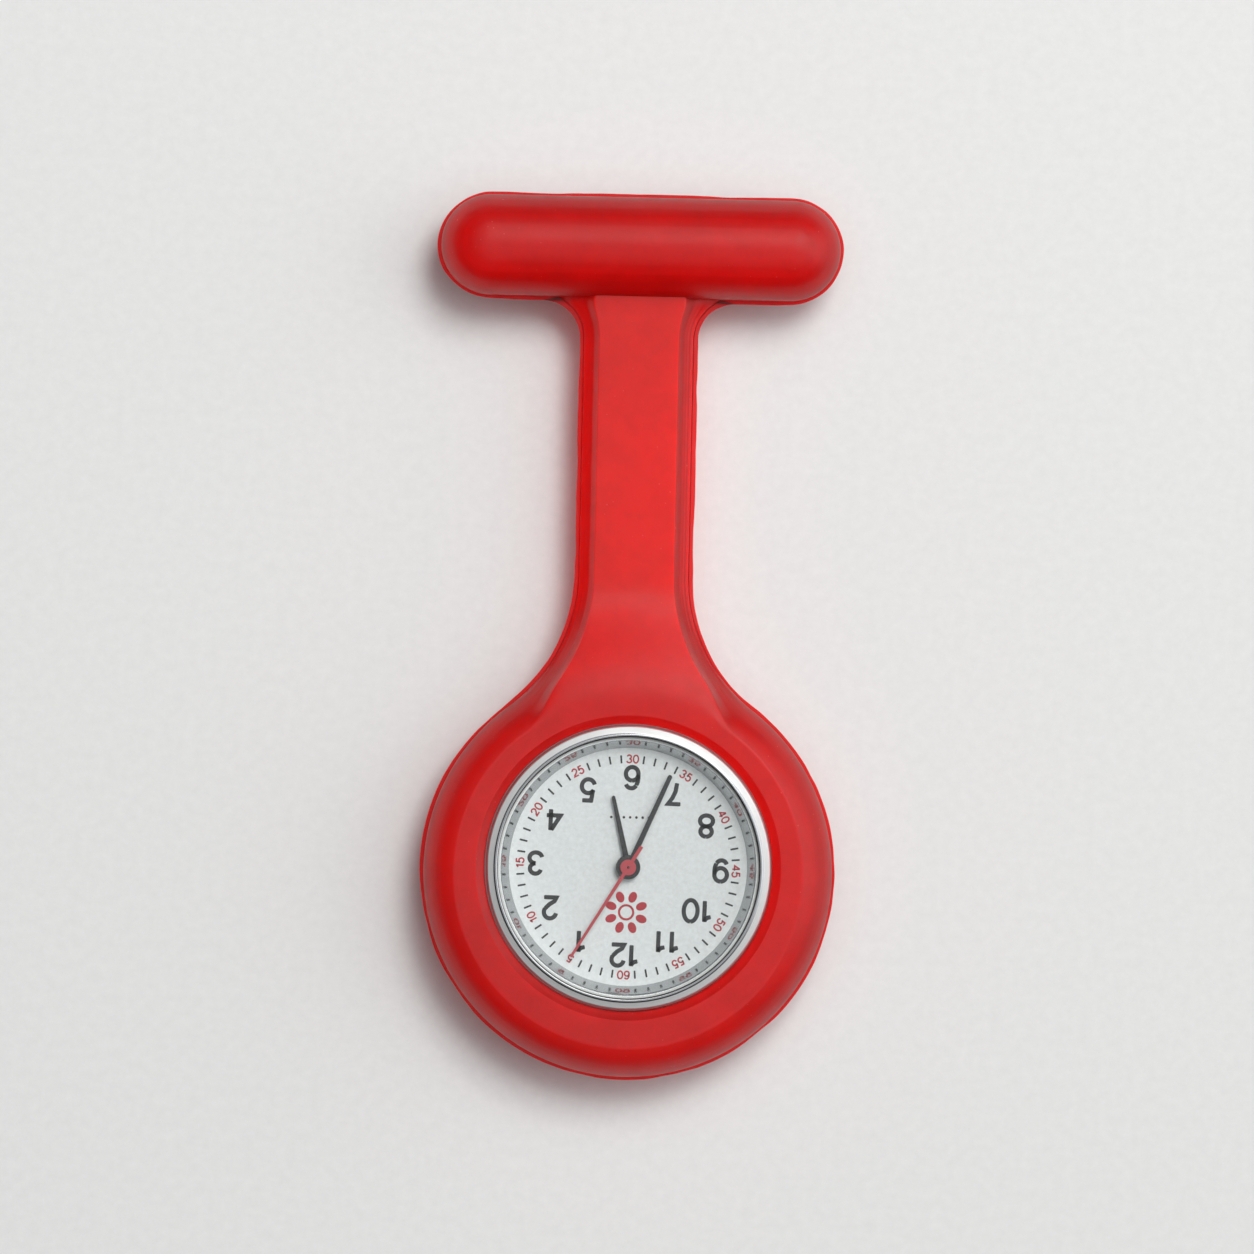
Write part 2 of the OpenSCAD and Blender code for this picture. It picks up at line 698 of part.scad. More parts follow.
module plate_screws() color("silver") for (i = [0:2]) at(screws_at[i]) {
    top = i == 1 ? bridge_z[0] - 0.18 : bridge_z[0];   // the second one also holds the battery clamp
    difference() {
        union() {
            disc(0.75, [top - 0.45, top]);
            disc(0.35, [top - eps, 4.6]);
        }
        block([-1, 1], [-0.12, 0.12], [top - 1, top - 0.25]);
    }
}

module stator() color("gray") difference() {
    union() {
        for (x = [-5.5, 4.3]) block([x, x + 1.2], [-7.5, -4.8], stator_z);
        block([-5.5, 5.5], [-5.7, -4.75], stator_z);
        at(rotor_at) disc(1.4, stator_z);
    }
    at(rotor_at) disc(0.95, [3, 5]);
}

module coil_core() color("gray") {
    block([-5.5, 5.5], around(coil_y, 0.5), [stator_z[1], stator_z[1] + 0.5]);
}

module coil() color([0.72, 0.35, 0.15]) translate([0, coil_y, 0]) difference() {
    rod_x(coil_l / 2 * [-1, 1], coil_r, coil_z);
    block([-9, 9], [-0.5, 0.5], [stator_z[1], stator_z[1] + 0.5]);
}

module circuit_board() color("darkgreen") difference() {
    intersection() {
        disc(8.95, [3, 3.2]);
        union() {
            block([-9, 9], [-8.2, -5.2], [3, 3.2]);
            block([-9, -6], [-5.4, 3], [3, 3.2]);
            block([-9, -4.4], [2.8, 8], [3, 3.2]);
        }
    }
    for (p = screws_at) at(p) disc(1.3, [2, 4]);
    at(rotor_at) disc(1.8, [2, 4]);
}

module circuit_chip() color("black") translate([-7.3, -2.4, 0]) disc(1.05, [3.2, 3.65]);

module quartz_can() color("silver") translate([-5.4, 5.8, 4.1]) rotate([0, 90, 45])
    cylinder(r = 0.74, h = 4.6, center = true);

module battery() color("silver") at(battery_at) {
    disc(battery_r, [battery_z[0], battery_z[1] - 0.3]);
    disc(battery_r - 0.5, [battery_z[0], battery_z[1]]);
}

module battery_clamp() color("silver") {
    z = [bridge_z[0] - 0.18, bridge_z[0]];
    arm = battery_at - screws_at[1];
    difference() {
        union() {
            at(screws_at[1]) disc(1, z);
            at(screws_at[1]) rotate(atan2(arm[1], arm[0])) block([0, norm(arm) + 2.4], [-0.9, 0.9], z);
            at(battery_at) disc(1.6, z);
        }
        at(screws_at[1]) disc(0.4, [2, 4]);
    }
}

module battery_contact() color("gold") at(battery_at) block([-3.3, 0.6], [-0.6, 0.6], [5.6, 5.75]);

// ---------- nodes ----------

silicone_holder();
pin_bar();
pin_hinge_rivet();
pin_needle();
catch_housing();
catch_roller();
at_watch() case_middle();
at_watch() bezel();
at_watch() crystal();
at_watch() crystal_gasket();
at_watch() flange_ring();
at_watch() dial();
at_watch() dial_washer();
at_watch() hour_hand();
at_watch() minute_hand();
at_watch() seconds_hand();
at_watch() case_back();
at_watch() case_back_gasket();
at_watch() movement_holder();
at_watch() crown();
at_watch() crown_tube();
at_watch() crown_o_ring();
at_watch() stem();
at_watch() clutch_wheel();
at_watch() yoke();
at_watch() setting_lever();
at_watch() keyless_cover();
at_watch() cover_screws();
at_watch() setting_wheel();
at_watch() minute_wheel();
at_watch() hour_wheel();
at_watch() centre_wheel();
at_watch() third_wheel();
at_watch() seconds_wheel();
at_watch() fifth_wheel();
at_watch() rotor_pinion();
at_watch() rotor_magnet();
at_watch() stator();
at_watch() coil();
at_watch() coil_core();
at_watch() main_plate();
at_watch() train_bridge();
at_watch() bridge_bushes();
at_watch() plate_screws();
at_watch() circuit_board();
at_watch() circuit_chip();
at_watch() quartz_can();
at_watch() battery();
at_watch() battery_clamp();
at_watch() battery_contact();
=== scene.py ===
"""Nurse's fob watch: a red silicone holder with a pin bar, and a watch head with an upside-down dial.

It is laid out as an add-on: the sizes and colours that a user would change are properties, each piece or
group of like pieces has its own operator, and the panel in the 3D view's sidebar lists them.
"""

import math

import bmesh
import bpy
from mathutils import Matrix, Vector, noise


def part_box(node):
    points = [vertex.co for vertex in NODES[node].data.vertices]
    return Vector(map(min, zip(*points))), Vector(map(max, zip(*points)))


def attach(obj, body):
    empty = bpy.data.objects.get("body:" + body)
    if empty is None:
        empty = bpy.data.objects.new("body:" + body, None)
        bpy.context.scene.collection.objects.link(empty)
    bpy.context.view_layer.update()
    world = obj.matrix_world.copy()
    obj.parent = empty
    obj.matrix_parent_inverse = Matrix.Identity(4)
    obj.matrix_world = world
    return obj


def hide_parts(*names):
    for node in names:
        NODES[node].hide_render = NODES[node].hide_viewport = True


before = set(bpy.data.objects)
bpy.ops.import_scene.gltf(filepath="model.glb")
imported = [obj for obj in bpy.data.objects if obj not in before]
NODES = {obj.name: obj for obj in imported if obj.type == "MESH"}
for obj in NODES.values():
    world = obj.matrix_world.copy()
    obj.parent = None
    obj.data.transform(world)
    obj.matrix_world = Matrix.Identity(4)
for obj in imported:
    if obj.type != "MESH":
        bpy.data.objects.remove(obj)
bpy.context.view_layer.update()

bl_info = {
    "name": "Fob Watch",
    "version": (1, 0, 0),
    "blender": (4, 5, 0),
    "location": "3D View > Sidebar > Fob Watch",
    "description": "Finishes a nurse's fob watch in a silicone holder",
    "category": "Object",
}

MM = 0.001
UP = Vector((0, 0, 1))


def middle(node):
    """Middle of a CAD node's box."""
    low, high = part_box(node)
    return (low + high) / 2


HOLDER_LOW, HOLDER_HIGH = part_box("silicone_holder")
WATCH = middle("dial")
BAR = middle("pin_bar")
DIAL_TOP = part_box("dial")[1].z
RING_R = HOLDER_HIGH.x
RING = Vector((0, HOLDER_LOW.y + RING_R, 0))
CROWN = middle("crown")
# From the ring's centre to the watch's, which sits a little nearer the bar
HEAD_SHIFT = Vector((0, WATCH.y - RING.y, 0))


# ---------------------------------------------------------------- settings


class FOBWATCH_PG_holder(bpy.types.PropertyGroup):
    """Sizes of the silicone holder that the CAD solid doesn't give."""

    ring_top: bpy.props.FloatProperty(
        name="Ring top", description="Height of the ring's flat face", default=9.8 * MM, unit="LENGTH")
    ridge_r: bpy.props.FloatProperty(
        name="Ridge radius", description="Where the ring's flat face turns into its round side",
        default=17.2 * MM, unit="LENGTH")
    opening_r: bpy.props.FloatProperty(
        name="Opening radius", description="Radius of the front opening", default=14.15 * MM, unit="LENGTH")
    back_opening_r: bpy.props.FloatProperty(
        name="Back opening radius", description="Radius of the back opening", default=11.6 * MM,
        unit="LENGTH")
    pocket_r: bpy.props.FloatProperty(
        name="Pocket radius", description="Radius of the pocket for the watch case", default=14.8 * MM,
        unit="LENGTH")
    bar_r: bpy.props.FloatProperty(
        name="Bar radius", description="Radius of the pin bar's cover", default=5.35 * MM, unit="LENGTH")
    bar_l: bpy.props.FloatProperty(
        name="Bar length", description="Length of the bar over its round ends", default=40.3 * MM,
        unit="LENGTH")
    strap_w: bpy.props.FloatProperty(
        name="Strap width", description="Width of the strap at its parting line", default=11.8 * MM,
        unit="LENGTH")
    strap_h: bpy.props.FloatProperty(
        name="Strap thickness", description="Thickness of the strap", default=3.8 * MM, unit="LENGTH")
    neck_r: bpy.props.FloatProperty(
        name="Neck radius", description="Radius of the flare from the strap to the ring",
        default=16.2 * MM, unit="LENGTH")
    fillet_r: bpy.props.FloatProperty(
        name="Fillet radius", description="Radius of the fillet from the strap to the bar",
        default=3.6 * MM, unit="LENGTH")
    edge_w: bpy.props.FloatProperty(
        name="Edge width", description="Width of the stepped edge beside the strap's flat face",
        default=2.05 * MM, unit="LENGTH")
    flash_w: bpy.props.FloatProperty(
        name="Flash width", description="Mean width of the flash left along the parting line",
        default=0.42 * MM, unit="LENGTH")
    neck_l: bpy.props.FloatProperty(
        name="Neck length", description="Length over which the neck climbs from the strap to the ring",
        default=11.5 * MM, unit="LENGTH")


class FOBWATCH_PG_dial(bpy.types.PropertyGroup):
    """Sizes of what is printed on the dial."""

    hour_digit_h: bpy.props.FloatProperty(
        name="Hour numeral height", description="Height of the hour numerals", default=2.5 * MM,
        unit="LENGTH")
    hour_r: bpy.props.FloatProperty(
        name="Hour circle", description="Radius of the circle that the hour numerals stand inside",
        default=10.1 * MM, unit="LENGTH")
    minute_digit_h: bpy.props.FloatProperty(
        name="Minute numeral height", description="Height of the minute numerals", default=0.89 * MM,
        unit="LENGTH")
    minute_r: bpy.props.FloatProperty(
        name="Minute circle", description="Radius of the circle of minute numerals",
        default=10.67 * MM, unit="LENGTH")
    tick_r: bpy.props.FloatVectorProperty(
        name="Tick radii", description="Inner and outer radius of the minute ticks", size=2,
        default=(10.25 * MM, 11.04 * MM), unit="LENGTH")
    tick_w: bpy.props.FloatProperty(
        name="Tick width", description="Width of a minute tick", default=0.18 * MM, unit="LENGTH")
    print_turn: bpy.props.FloatProperty(
        name="Dial turn", description="How far the dial sits turned in the holder",
        default=math.radians(1.2), subtype="ANGLE")
    ink_h: bpy.props.FloatProperty(
        name="Ink height", description="Height that the printing stands above the dial",
        default=0.015 * MM, unit="LENGTH")


class FOBWATCH_PG_colours(bpy.types.PropertyGroup):
    """Colours of the finishes."""

    silicone: bpy.props.FloatVectorProperty(
        name="Silicone", description="Colour of the silicone where it is thick", subtype="COLOR",
        size=3, default=(0.84, 0.008, 0.007))
    # Lighter than the thick colour: painted glow of light through thin silicone.
    thin_silicone: bpy.props.FloatVectorProperty(
        name="Thin silicone", description="Colour of the silicone where it is thin", subtype="COLOR",
        size=3, default=(0.88, 0.024, 0.019))
    dial: bpy.props.FloatVectorProperty(
        name="Dial", description="Colour of the dial's lacquer", subtype="COLOR", size=3,
        default=(0.72, 0.75, 0.745))
    ink: bpy.props.FloatVectorProperty(
        name="Black ink", description="Colour of the hour numerals, the ticks and two hands",
        subtype="COLOR", size=3, default=(0.02, 0.022, 0.023))
    red_ink: bpy.props.FloatVectorProperty(
        name="Red ink", description="Colour of the minute numerals and the ornament",
        subtype="COLOR", size=3, default=(0.4, 0.03, 0.04))
    red_hand: bpy.props.FloatVectorProperty(
        name="Seconds hand", description="Colour of the seconds hand", subtype="COLOR", size=3,
        default=(0.42, 0.05, 0.06))
    floor: bpy.props.FloatVectorProperty(
        name="Floor", description="Colour of the surface that the watch lies on", subtype="COLOR",
        size=3, default=(0.79, 0.79, 0.785))


def settings(context):
    """The holder's, the dial's and the colours' settings."""
    scene = context.scene
    return scene.fobwatch_holder, scene.fobwatch_dial, scene.fobwatch_colours


# ---------------------------------------------------------------- meshes


def polar(r, angle):
    """Point of the XY plane at a radius and an angle in degrees."""
    a = math.radians(angle)
    return Vector((r * math.cos(a), r * math.sin(a), 0))


def holding(name, bm):
    """Object that holds a bmesh."""
    mesh = bpy.data.meshes.new(name)
    bm.to_mesh(mesh)
    bm.free()
    piece = bpy.data.objects.new(name, mesh)
    bpy.context.scene.collection.objects.link(piece)
    return piece


def soften(piece, sharp):
    """Shades a piece smooth, but for edges sharper than an angle in degrees."""
    for face in piece.data.polygons:
        face.use_smooth = True
    piece.data.set_sharp_from_angle(angle=math.radians(sharp))


def new_piece(name, bm, material, body, sharp):
    """Turns a bmesh into an object that rides on a body."""
    piece = holding(name, bm)
    soften(piece, sharp)
    piece.data.materials.append(material)
    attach(piece, body)
    return piece


def spun(profile, centre, steps):
    """Ring turned about +Z: profile is a closed list of (radius, height), in millimetres."""
    bm = bmesh.new()
    points = [bm.verts.new((r * MM, 0, z * MM)) for r, z in profile]
    edges = [bm.edges.new(pair) for pair in zip(points, points[1:] + points[:1])]
    bmesh.ops.spin(bm, geom=points + edges, cent=(0, 0, 0), axis=UP, angle=2 * math.pi, steps=steps,
                   use_merge=True)
    bmesh.ops.remove_doubles(bm, verts=bm.verts, dist=1e-7)
    bmesh.ops.recalc_face_normals(bm, faces=bm.faces)
    bmesh.ops.translate(bm, verts=bm.verts, vec=(centre.x, centre.y, 0))
    return bm


def arc(centre, r, start, end, steps):
    """Points of an arc in the XY plane, both ends included, with the angles in degrees."""
    return [centre + polar(r, start + (end - start) * i / steps) for i in range(steps + 1)]


def ribbon(bm, path, width, z, height, round_ends=True):
    """Flat stroke of one width along a path, standing height above z. Its top is the only face seen."""
    half, least = width / 2, 0.5
    left, right = [], []
    for i, p in enumerate(path):
        before = (p - path[i - 1]).normalized() if i else (path[1] - p).normalized()
        after = (path[i + 1] - p).normalized() if i + 1 < len(path) else before
        along = (before + after).normalized()
        side = UP.cross(along)
        reach = half / max(side.dot(UP.cross(before)), least)
        left.append(p + side * reach)
        right.append(p - side * reach)
    outline = left + right[::-1]
    slab(bm, rounded(outline, half * 0.5) if round_ends else outline, z, height)


def slab(bm, outline, z, height):
    """Flat plate with an outline in the XY plane."""
    face = bm.faces.new([bm.verts.new((p.x, p.y, z)) for p in outline])
    face.normal_update()
    if face.normal.z < 0:
        face.normal_flip()
    made = bmesh.ops.extrude_face_region(bm, geom=[face], use_keep_orig=True)["geom"]
    top = [v for v in made if isinstance(v, bmesh.types.BMVert)]
    bmesh.ops.translate(bm, verts=top, vec=(0, 0, height))
    face.normal_flip()


def rounded(outline, r):
    """Outline with its sharp corners rounded."""
    steps, blunt_turn = 3, 60
    out = []
    count = len(outline)
    for i, p in enumerate(outline):
        a, b = outline[i - 1] - p, outline[(i + 1) % count] - p
        if a.length < 1e-9 or b.length < 1e-9:
            continue
        turn = 180 - math.degrees(a.angle(b))
        if turn < blunt_turn:
            out.append(p)
            continue
        cut = min(r, a.length * 0.45, b.length * 0.45)
        start, end = p + a.normalized() * cut, p + b.normalized() * cut
        for k in range(steps + 1):
            t = k / steps
            out.append(start * (1 - t) ** 2 + p * 2 * t * (1 - t) + end * t ** 2)
    return out


def combine(piece, helper, operation):
    """Applies one exact boolean to a piece and removes the helper."""
    modifier = piece.modifiers.new(operation, "BOOLEAN")
    modifier.operation = operation
    modifier.solver = "EXACT"
    modifier.object = helper
    bpy.context.view_layer.update()
    graph = bpy.context.evaluated_depsgraph_get()
    mesh = bpy.data.meshes.new_from_object(piece.evaluated_get(graph))
    piece.modifiers.clear()
    old = piece.data
    piece.data = mesh
    bpy.data.meshes.remove(old)
    bpy.data.objects.remove(helper)


def box_cutter(low, high, round_r=0.0):
    """Box between two corners, with its upright edges rounded."""
    bm = bmesh.new()
    bmesh.ops.create_cube(bm, size=1)
    bmesh.ops.scale(bm, verts=bm.verts, vec=high - low)
    bmesh.ops.translate(bm, verts=bm.verts, vec=(low + high) / 2)
    if round_r:
        upright = [e for e in bm.edges if abs((e.verts[0].co - e.verts[1].co).normalized().z) > 0.9]
        bmesh.ops.bevel(bm, geom=upright, offset=round_r, segments=4, affect="EDGES", profile=0.5,
                        material=-1)
    return holding("cutter", bm)


# ---------------------------------------------------------------- materials


class Nodes:
    """Small helper that adds and links the nodes of a material or a world."""

    def __init__(self, owner, place):
        owner.use_nodes = True
        self.tree = owner.node_tree
        self.place = self.add("ShaderNodeTexCoord").outputs[place]

    def add(self, kind, **values):
        node = self.tree.nodes.new(kind)
        for key, value in values.items():
            setattr(node, key, value)
        return node

    def link(self, source, target):
        self.tree.links.new(source, target)

    def span(self, source, low, high, to_low, to_high, **values):
        """Maps a value from one range to another."""
        node = self.add("ShaderNodeMapRange", **values)
        for key, value in zip(("From Min", "From Max", "To Min", "To Max"), (low, high, to_low, to_high)):
            node.inputs[key].default_value = value
        self.link(source, node.inputs["Value"])
        return node.outputs["Result"]

    def facing(self, direction, toward):
        """Dot product of a direction's socket and a plain vector."""
        node = self.add("ShaderNodeVectorMath", operation="DOT_PRODUCT")
        self.link(direction, node.inputs[0])
        node.inputs[1].default_value = toward
        return node.outputs["Value"]

    def math(self, operation, source, value):
        """One operation on a socket and a number, or on two sockets."""
        node = self.add("ShaderNodeMath", operation=operation)
        self.link(source, node.inputs[0])
        if isinstance(value, bpy.types.NodeSocket):
            self.link(value, node.inputs[1])
        else:
            node.inputs[1].default_value = value
        return node.outputs["Value"]


class Shades(Nodes):
    """Helper for the nodes of a material, with its Principled shader at hand."""

    def __init__(self, name):
        self.material = bpy.data.materials.new(name)
        super().__init__(self.material, "Object")
        self.shader = self.tree.nodes["Principled BSDF"]

    def set(self, **values):
        for key, value in values.items():
            self.shader.inputs[key.replace("_", " ")].default_value = value

    def noise(self, scale, detail=3.0, rough=0.5, stretch=None):
        """Noise at a scale in cycles per metre, stretched along the axes if asked."""
        node = self.add("ShaderNodeTexNoise")
        node.inputs["Scale"].default_value = scale
        node.inputs["Detail"].default_value = detail
        node.inputs["Roughness"].default_value = rough
        place = self.place
        if stretch:
            mapping = self.add("ShaderNodeMapping")
            mapping.inputs["Scale"].default_value = stretch
            self.link(place, mapping.inputs["Vector"])
            place = mapping.outputs["Vector"]
        self.link(place, node.inputs["Vector"])
        return node.outputs["Fac"]

    def ramp(self, source, stops):
        """Colour ramp with (position, colour) stops."""
        node = self.add("ShaderNodeValToRGB")
        elements = node.color_ramp.elements
        while len(elements) < len(stops):
            elements.new(0.5)
        for element, (position, colour) in zip(elements, stops):
            element.position = position
            element.color = (*colour, 1)
        self.link(source, node.inputs["Fac"])
        return node.outputs["Color"]

    def shade(self, source, stops):
        """Grey ramp with (position, brightness) stops, as a factor for a colour."""
        return self.ramp(source, [(position, (value,) * 3) for position, value in stops])

    def mix(self, blend, factor, below, above):
        """Mixes two colours; each of the last three may be a socket or a plain value."""
        node = self.add("ShaderNodeMix", data_type="RGBA", blend_type=blend)
        for socket, value in zip((node.inputs[0], node.inputs[6], node.inputs[7]),
                                 (factor, below, above)):
            if isinstance(value, bpy.types.NodeSocket):
                self.link(value, socket)
            else:
                socket.default_value = (*value, 1) if isinstance(value, tuple) else value
        return node.outputs[2]

    def height(self, direction):
        """Z part of a vector's socket."""
        axes = self.add("ShaderNodeSeparateXYZ")
        self.link(direction, axes.inputs["Vector"])
        return axes.outputs["Z"]

    def let_lamps_through(self, seen, colour, scattered):
        """Makes the surface clear for rays to the lamps, and if asked for scattered light too."""
        clear = self.add("ShaderNodeBsdfTransparent")
        clear.inputs["Color"].default_value = colour
        path = self.add("ShaderNodeLightPath")
        for ray in ("Is Shadow Ray", "Is Diffuse Ray")[:1 + scattered]:
            mix = self.add("ShaderNodeMixShader")
            self.link(path.outputs[ray], mix.inputs[0])
            self.link(seen, mix.inputs[1])
            self.link(clear.outputs["BSDF"], mix.inputs[2])
            seen = mix.outputs["Shader"]
        self.link(seen, self.tree.nodes["Material Output"].inputs["Surface"])

    def bump(self, source, height, strength):
        """Bump on the shader, with its height in metres."""
        node = self.add("ShaderNodeBump")
        node.inputs["Strength"].default_value = strength
        node.inputs["Distance"].default_value = height
        self.link(source, node.inputs["Height"])
        self.link(node.outputs["Normal"], self.shader.inputs["Normal"])


def scaled(colour, k):
    """A colour made lighter or darker."""
    return tuple(min(c * k, 1.0) for c in colour)


def silicone_material(deep, thin, part_z):
    """Soft, translucent silicone with a satin skin and a little dust, whose red holds painted light:
    a painted glow of light through it, lighter on the sides, the rim and the thin strap than on the
    thick top faces and lighter on faces turned away from the lamp at the upper right; painted shade on
    steep faces, on faces turned toward the lamp, along the flash and over the bar from the pin inside
    it; and a painted pale sheen on the flat top faces.

    Lamp light passes through it, tinted, so that its shadow and its far side glow.
    """
    s = Shades("red_silicone")
    # The red follows the height from the parting plane, as a share of 5 mm: painted glow of light through
    # the silicone, lighter at the rim by the parting line, on the thin strap and on the mid heights of the
    # sides than on the thick top faces.
    offset = s.math("SUBTRACT", s.height(s.place), part_z)
    depth = s.span(s.math("ABSOLUTE", offset, 0), 0.0, 5.0 * MM, 0.0, 1.0)
    # rim and neck are the thick colour made lighter, for the painted glow.
    rim, neck = scaled(deep, 1.05), scaled(deep, 1.14)
    # face is the thick colour with less red and more green and blue: a painted pale sheen on the flat top
    # faces.
    face = tuple(c + pale for c, pale in zip(deep, (-0.02, 0.012, 0.012)))
    # Its first stop is darker: painted shade on the flash and along the foot of the side just above it, a
    # dark line round the parting line.
    colour = s.ramp(depth, [(0.02, scaled(deep, 0.72)), (0.05, rim), (0.2, rim), (0.34, thin), (0.4, thin),
                            (0.5, neck), (0.85, neck), (0.98, face)])
    normal = s.add("ShaderNodeNewGeometry").outputs["Normal"]
    # Painted shade: the red is darker the steeper the face.
    lean = s.shade(s.math("ABSOLUTE", s.height(normal), 0),
                   [(0.05, 0.58), (0.4, 0.64), (0.55, 0.74), (0.72, 0.76), (0.88, 0.98), (0.99, 1.0)])
    # Painted light from the lamp at the upper right passing through the silicone: faces turned toward it
    # are darker, and faces turned away, to the lower left, are lighter.
    side = s.shade(s.span(s.facing(normal, (-0.8, -0.6, 0)), -1, 1, 0, 1),
                   [(0.0, 0.56), (0.3, 0.57), (0.5, 0.69), (1.0, 1.0)])
    # Painted shadow of the metal pin inside the bar: over the bar the red is a little darker, and the green
    # and blue much darker.
    pin = s.ramp(s.span(s.facing(s.place, (0, 1, 0)), BAR.y - 7 * MM, BAR.y - 4 * MM, 0, 1),
                 [(0.0, (1.0, 1.0, 1.0)), (1.0, (0.94, 0.5, 0.5))])
    cloud = s.shade(s.noise(75, 3, 0.5, (0.6, 1.0, 1.0)), [(0.35, 0.95), (0.65, 1.0)])
    mottle = s.shade(s.noise(230, 9, 0.72), [(0.3, 0.84), (0.7, 1.0)])
    for factor in (lean, side, pin, cloud, mottle):
        colour = s.mix("MULTIPLY", 1.0, colour, factor)
    cells = s.add("ShaderNodeTexVoronoi")
    cells.inputs["Scale"].default_value = 900
    s.link(s.place, cells.inputs["Vector"])
    reach = s.span(s.noise(60, 2), 0.4, 0.7, 0.02, 0.075)
    speck = s.math("LESS_THAN", cells.outputs["Distance"], reach)
    speck = s.math("MULTIPLY", speck, 0.16)
    colour = s.mix("MIX", speck, colour, (0.75, 0.3, 0.27))
    s.link(colour, s.shader.inputs["Base Color"])
    s.set(Subsurface_Weight=1.0, Subsurface_Scale=2.0 * MM, IOR=1.41)
    s.shader.inputs["Subsurface Radius"].default_value = (1.0, 0.08, 0.05)
    s.link(s.span(s.noise(700, 4, 0.6), 0.3, 0.75, 0.31, 0.42), s.shader.inputs["Roughness"])
    s.bump(s.noise(5200, 3, 0.6), 0.02 * MM, 0.5)
    glow = s.add("ShaderNodeBsdfTranslucent")
    s.link(s.mix("MULTIPLY", 1.0, colour, (0.72, 0.5, 0.5)), glow.inputs["Color"])
    both = s.add("ShaderNodeAddShader")
    s.link(s.shader.outputs["BSDF"], both.inputs[0])
    s.link(glow.outputs["BSDF"], both.inputs[1])
    s.let_lamps_through(both.outputs["Shader"], (0.25, 0.045, 0.04, 1), False)
    return s.material


def metal_material(name, colour, rough, grain=0.0, stretch=None, spread=0.06):
    """Metal with smudges in its polish and, if asked, a brushed grain."""
    s = Shades(name)
    s.set(Metallic=1.0)
    smudge = s.noise(420, 4, 0.6)
    s.link(s.ramp(smudge, [(0.3, scaled(colour, 0.94)), (0.7, colour)]), s.shader.inputs["Base Color"])
    s.link(s.span(smudge, 0.3, 0.75, rough, rough + spread), s.shader.inputs["Roughness"])
    if grain:
        s.bump(s.noise(9000, 2, 0.6, stretch), grain * MM, 0.5)
    return s.material


BRASS = (0.72, 0.5, 0.2)


def wheel_material():
    """Brass wheel on a steel arbor, whose tip shows in the seconds hand."""
    s = Shades("brass_wheel_steel_arbor")
    s.set(Metallic=1.0, Roughness=0.25)
    tip = s.span(s.height(s.place), DIAL_TOP, DIAL_TOP + 0.1 * MM, 0.0, 1.0)
    s.link(s.mix("MIX", tip, BRASS, (0.12, 0.1, 0.1)), s.shader.inputs["Base Color"])
    s.bump(s.noise(9000, 2, 0.6), 0.001 * MM, 0.5)
    return s.material


def turned_metal(name, colour, rough, centre, groove_w, grain):
    """Metal with fine rings about a centre, as turning leaves them: grooves, and ridges as wide."""
    grooves_and_ridges = 6.3
    s = Shades(name)
    s.set(Metallic=1.0)
    mapping = s.add("ShaderNodeMapping")
    mapping.inputs["Location"].default_value = (-centre.x, -centre.y, 0)
    s.link(s.place, mapping.inputs["Vector"])
    wave = s.add("ShaderNodeTexWave", wave_type="RINGS", rings_direction="Z")
    wave.inputs["Scale"].default_value = 1 / groove_w / grooves_and_ridges
    wave.inputs["Distortion"].default_value = 1.5
    wave.inputs["Detail"].default_value = 3
    wave.inputs["Detail Scale"].default_value = 2.5
    s.link(mapping.outputs["Vector"], wave.inputs["Vector"])
    s.link(s.ramp(wave.outputs["Fac"], [(0.2, scaled(colour, 0.93)), (0.8, colour)]),
           s.shader.inputs["Base Color"])
    s.link(s.span(s.noise(300, 3), 0.3, 0.7, rough, rough + 0.07), s.shader.inputs["Roughness"])
    s.bump(wave.outputs["Fac"], grain * MM, 0.6)
    return s.material


def plain_material(name, colour, rough, spread=0.08, scale=1500, grain=0.004, **values):
    """Moulded, printed or lacquered surface with a little unevenness."""
    s = Shades(name)
    fleck = s.noise(scale, 4, 0.6)
    s.link(s.ramp(fleck, [(0.3, scaled(colour, 0.92)), (0.7, scaled(colour, 1.06))]),
           s.shader.inputs["Base Color"])
    s.link(s.span(fleck, 0.3, 0.7, rough, rough + spread), s.shader.inputs["Roughness"])
    s.bump(s.noise(scale * 4, 2), grain * MM, 0.4)
    s.set(**values)
    return s.material


def crystal_material():
    """Clear glass that lets the light through to the dial."""
    s = Shades("mineral_glass")
    s.set(Base_Color=(1, 1, 1, 1), Transmission_Weight=1.0, Roughness=0.0, IOR=1.5)
    s.let_lamps_through(s.shader.outputs["BSDF"], (0.97, 0.98, 0.98, 1), True)
    return s.material


FINISHES = {}


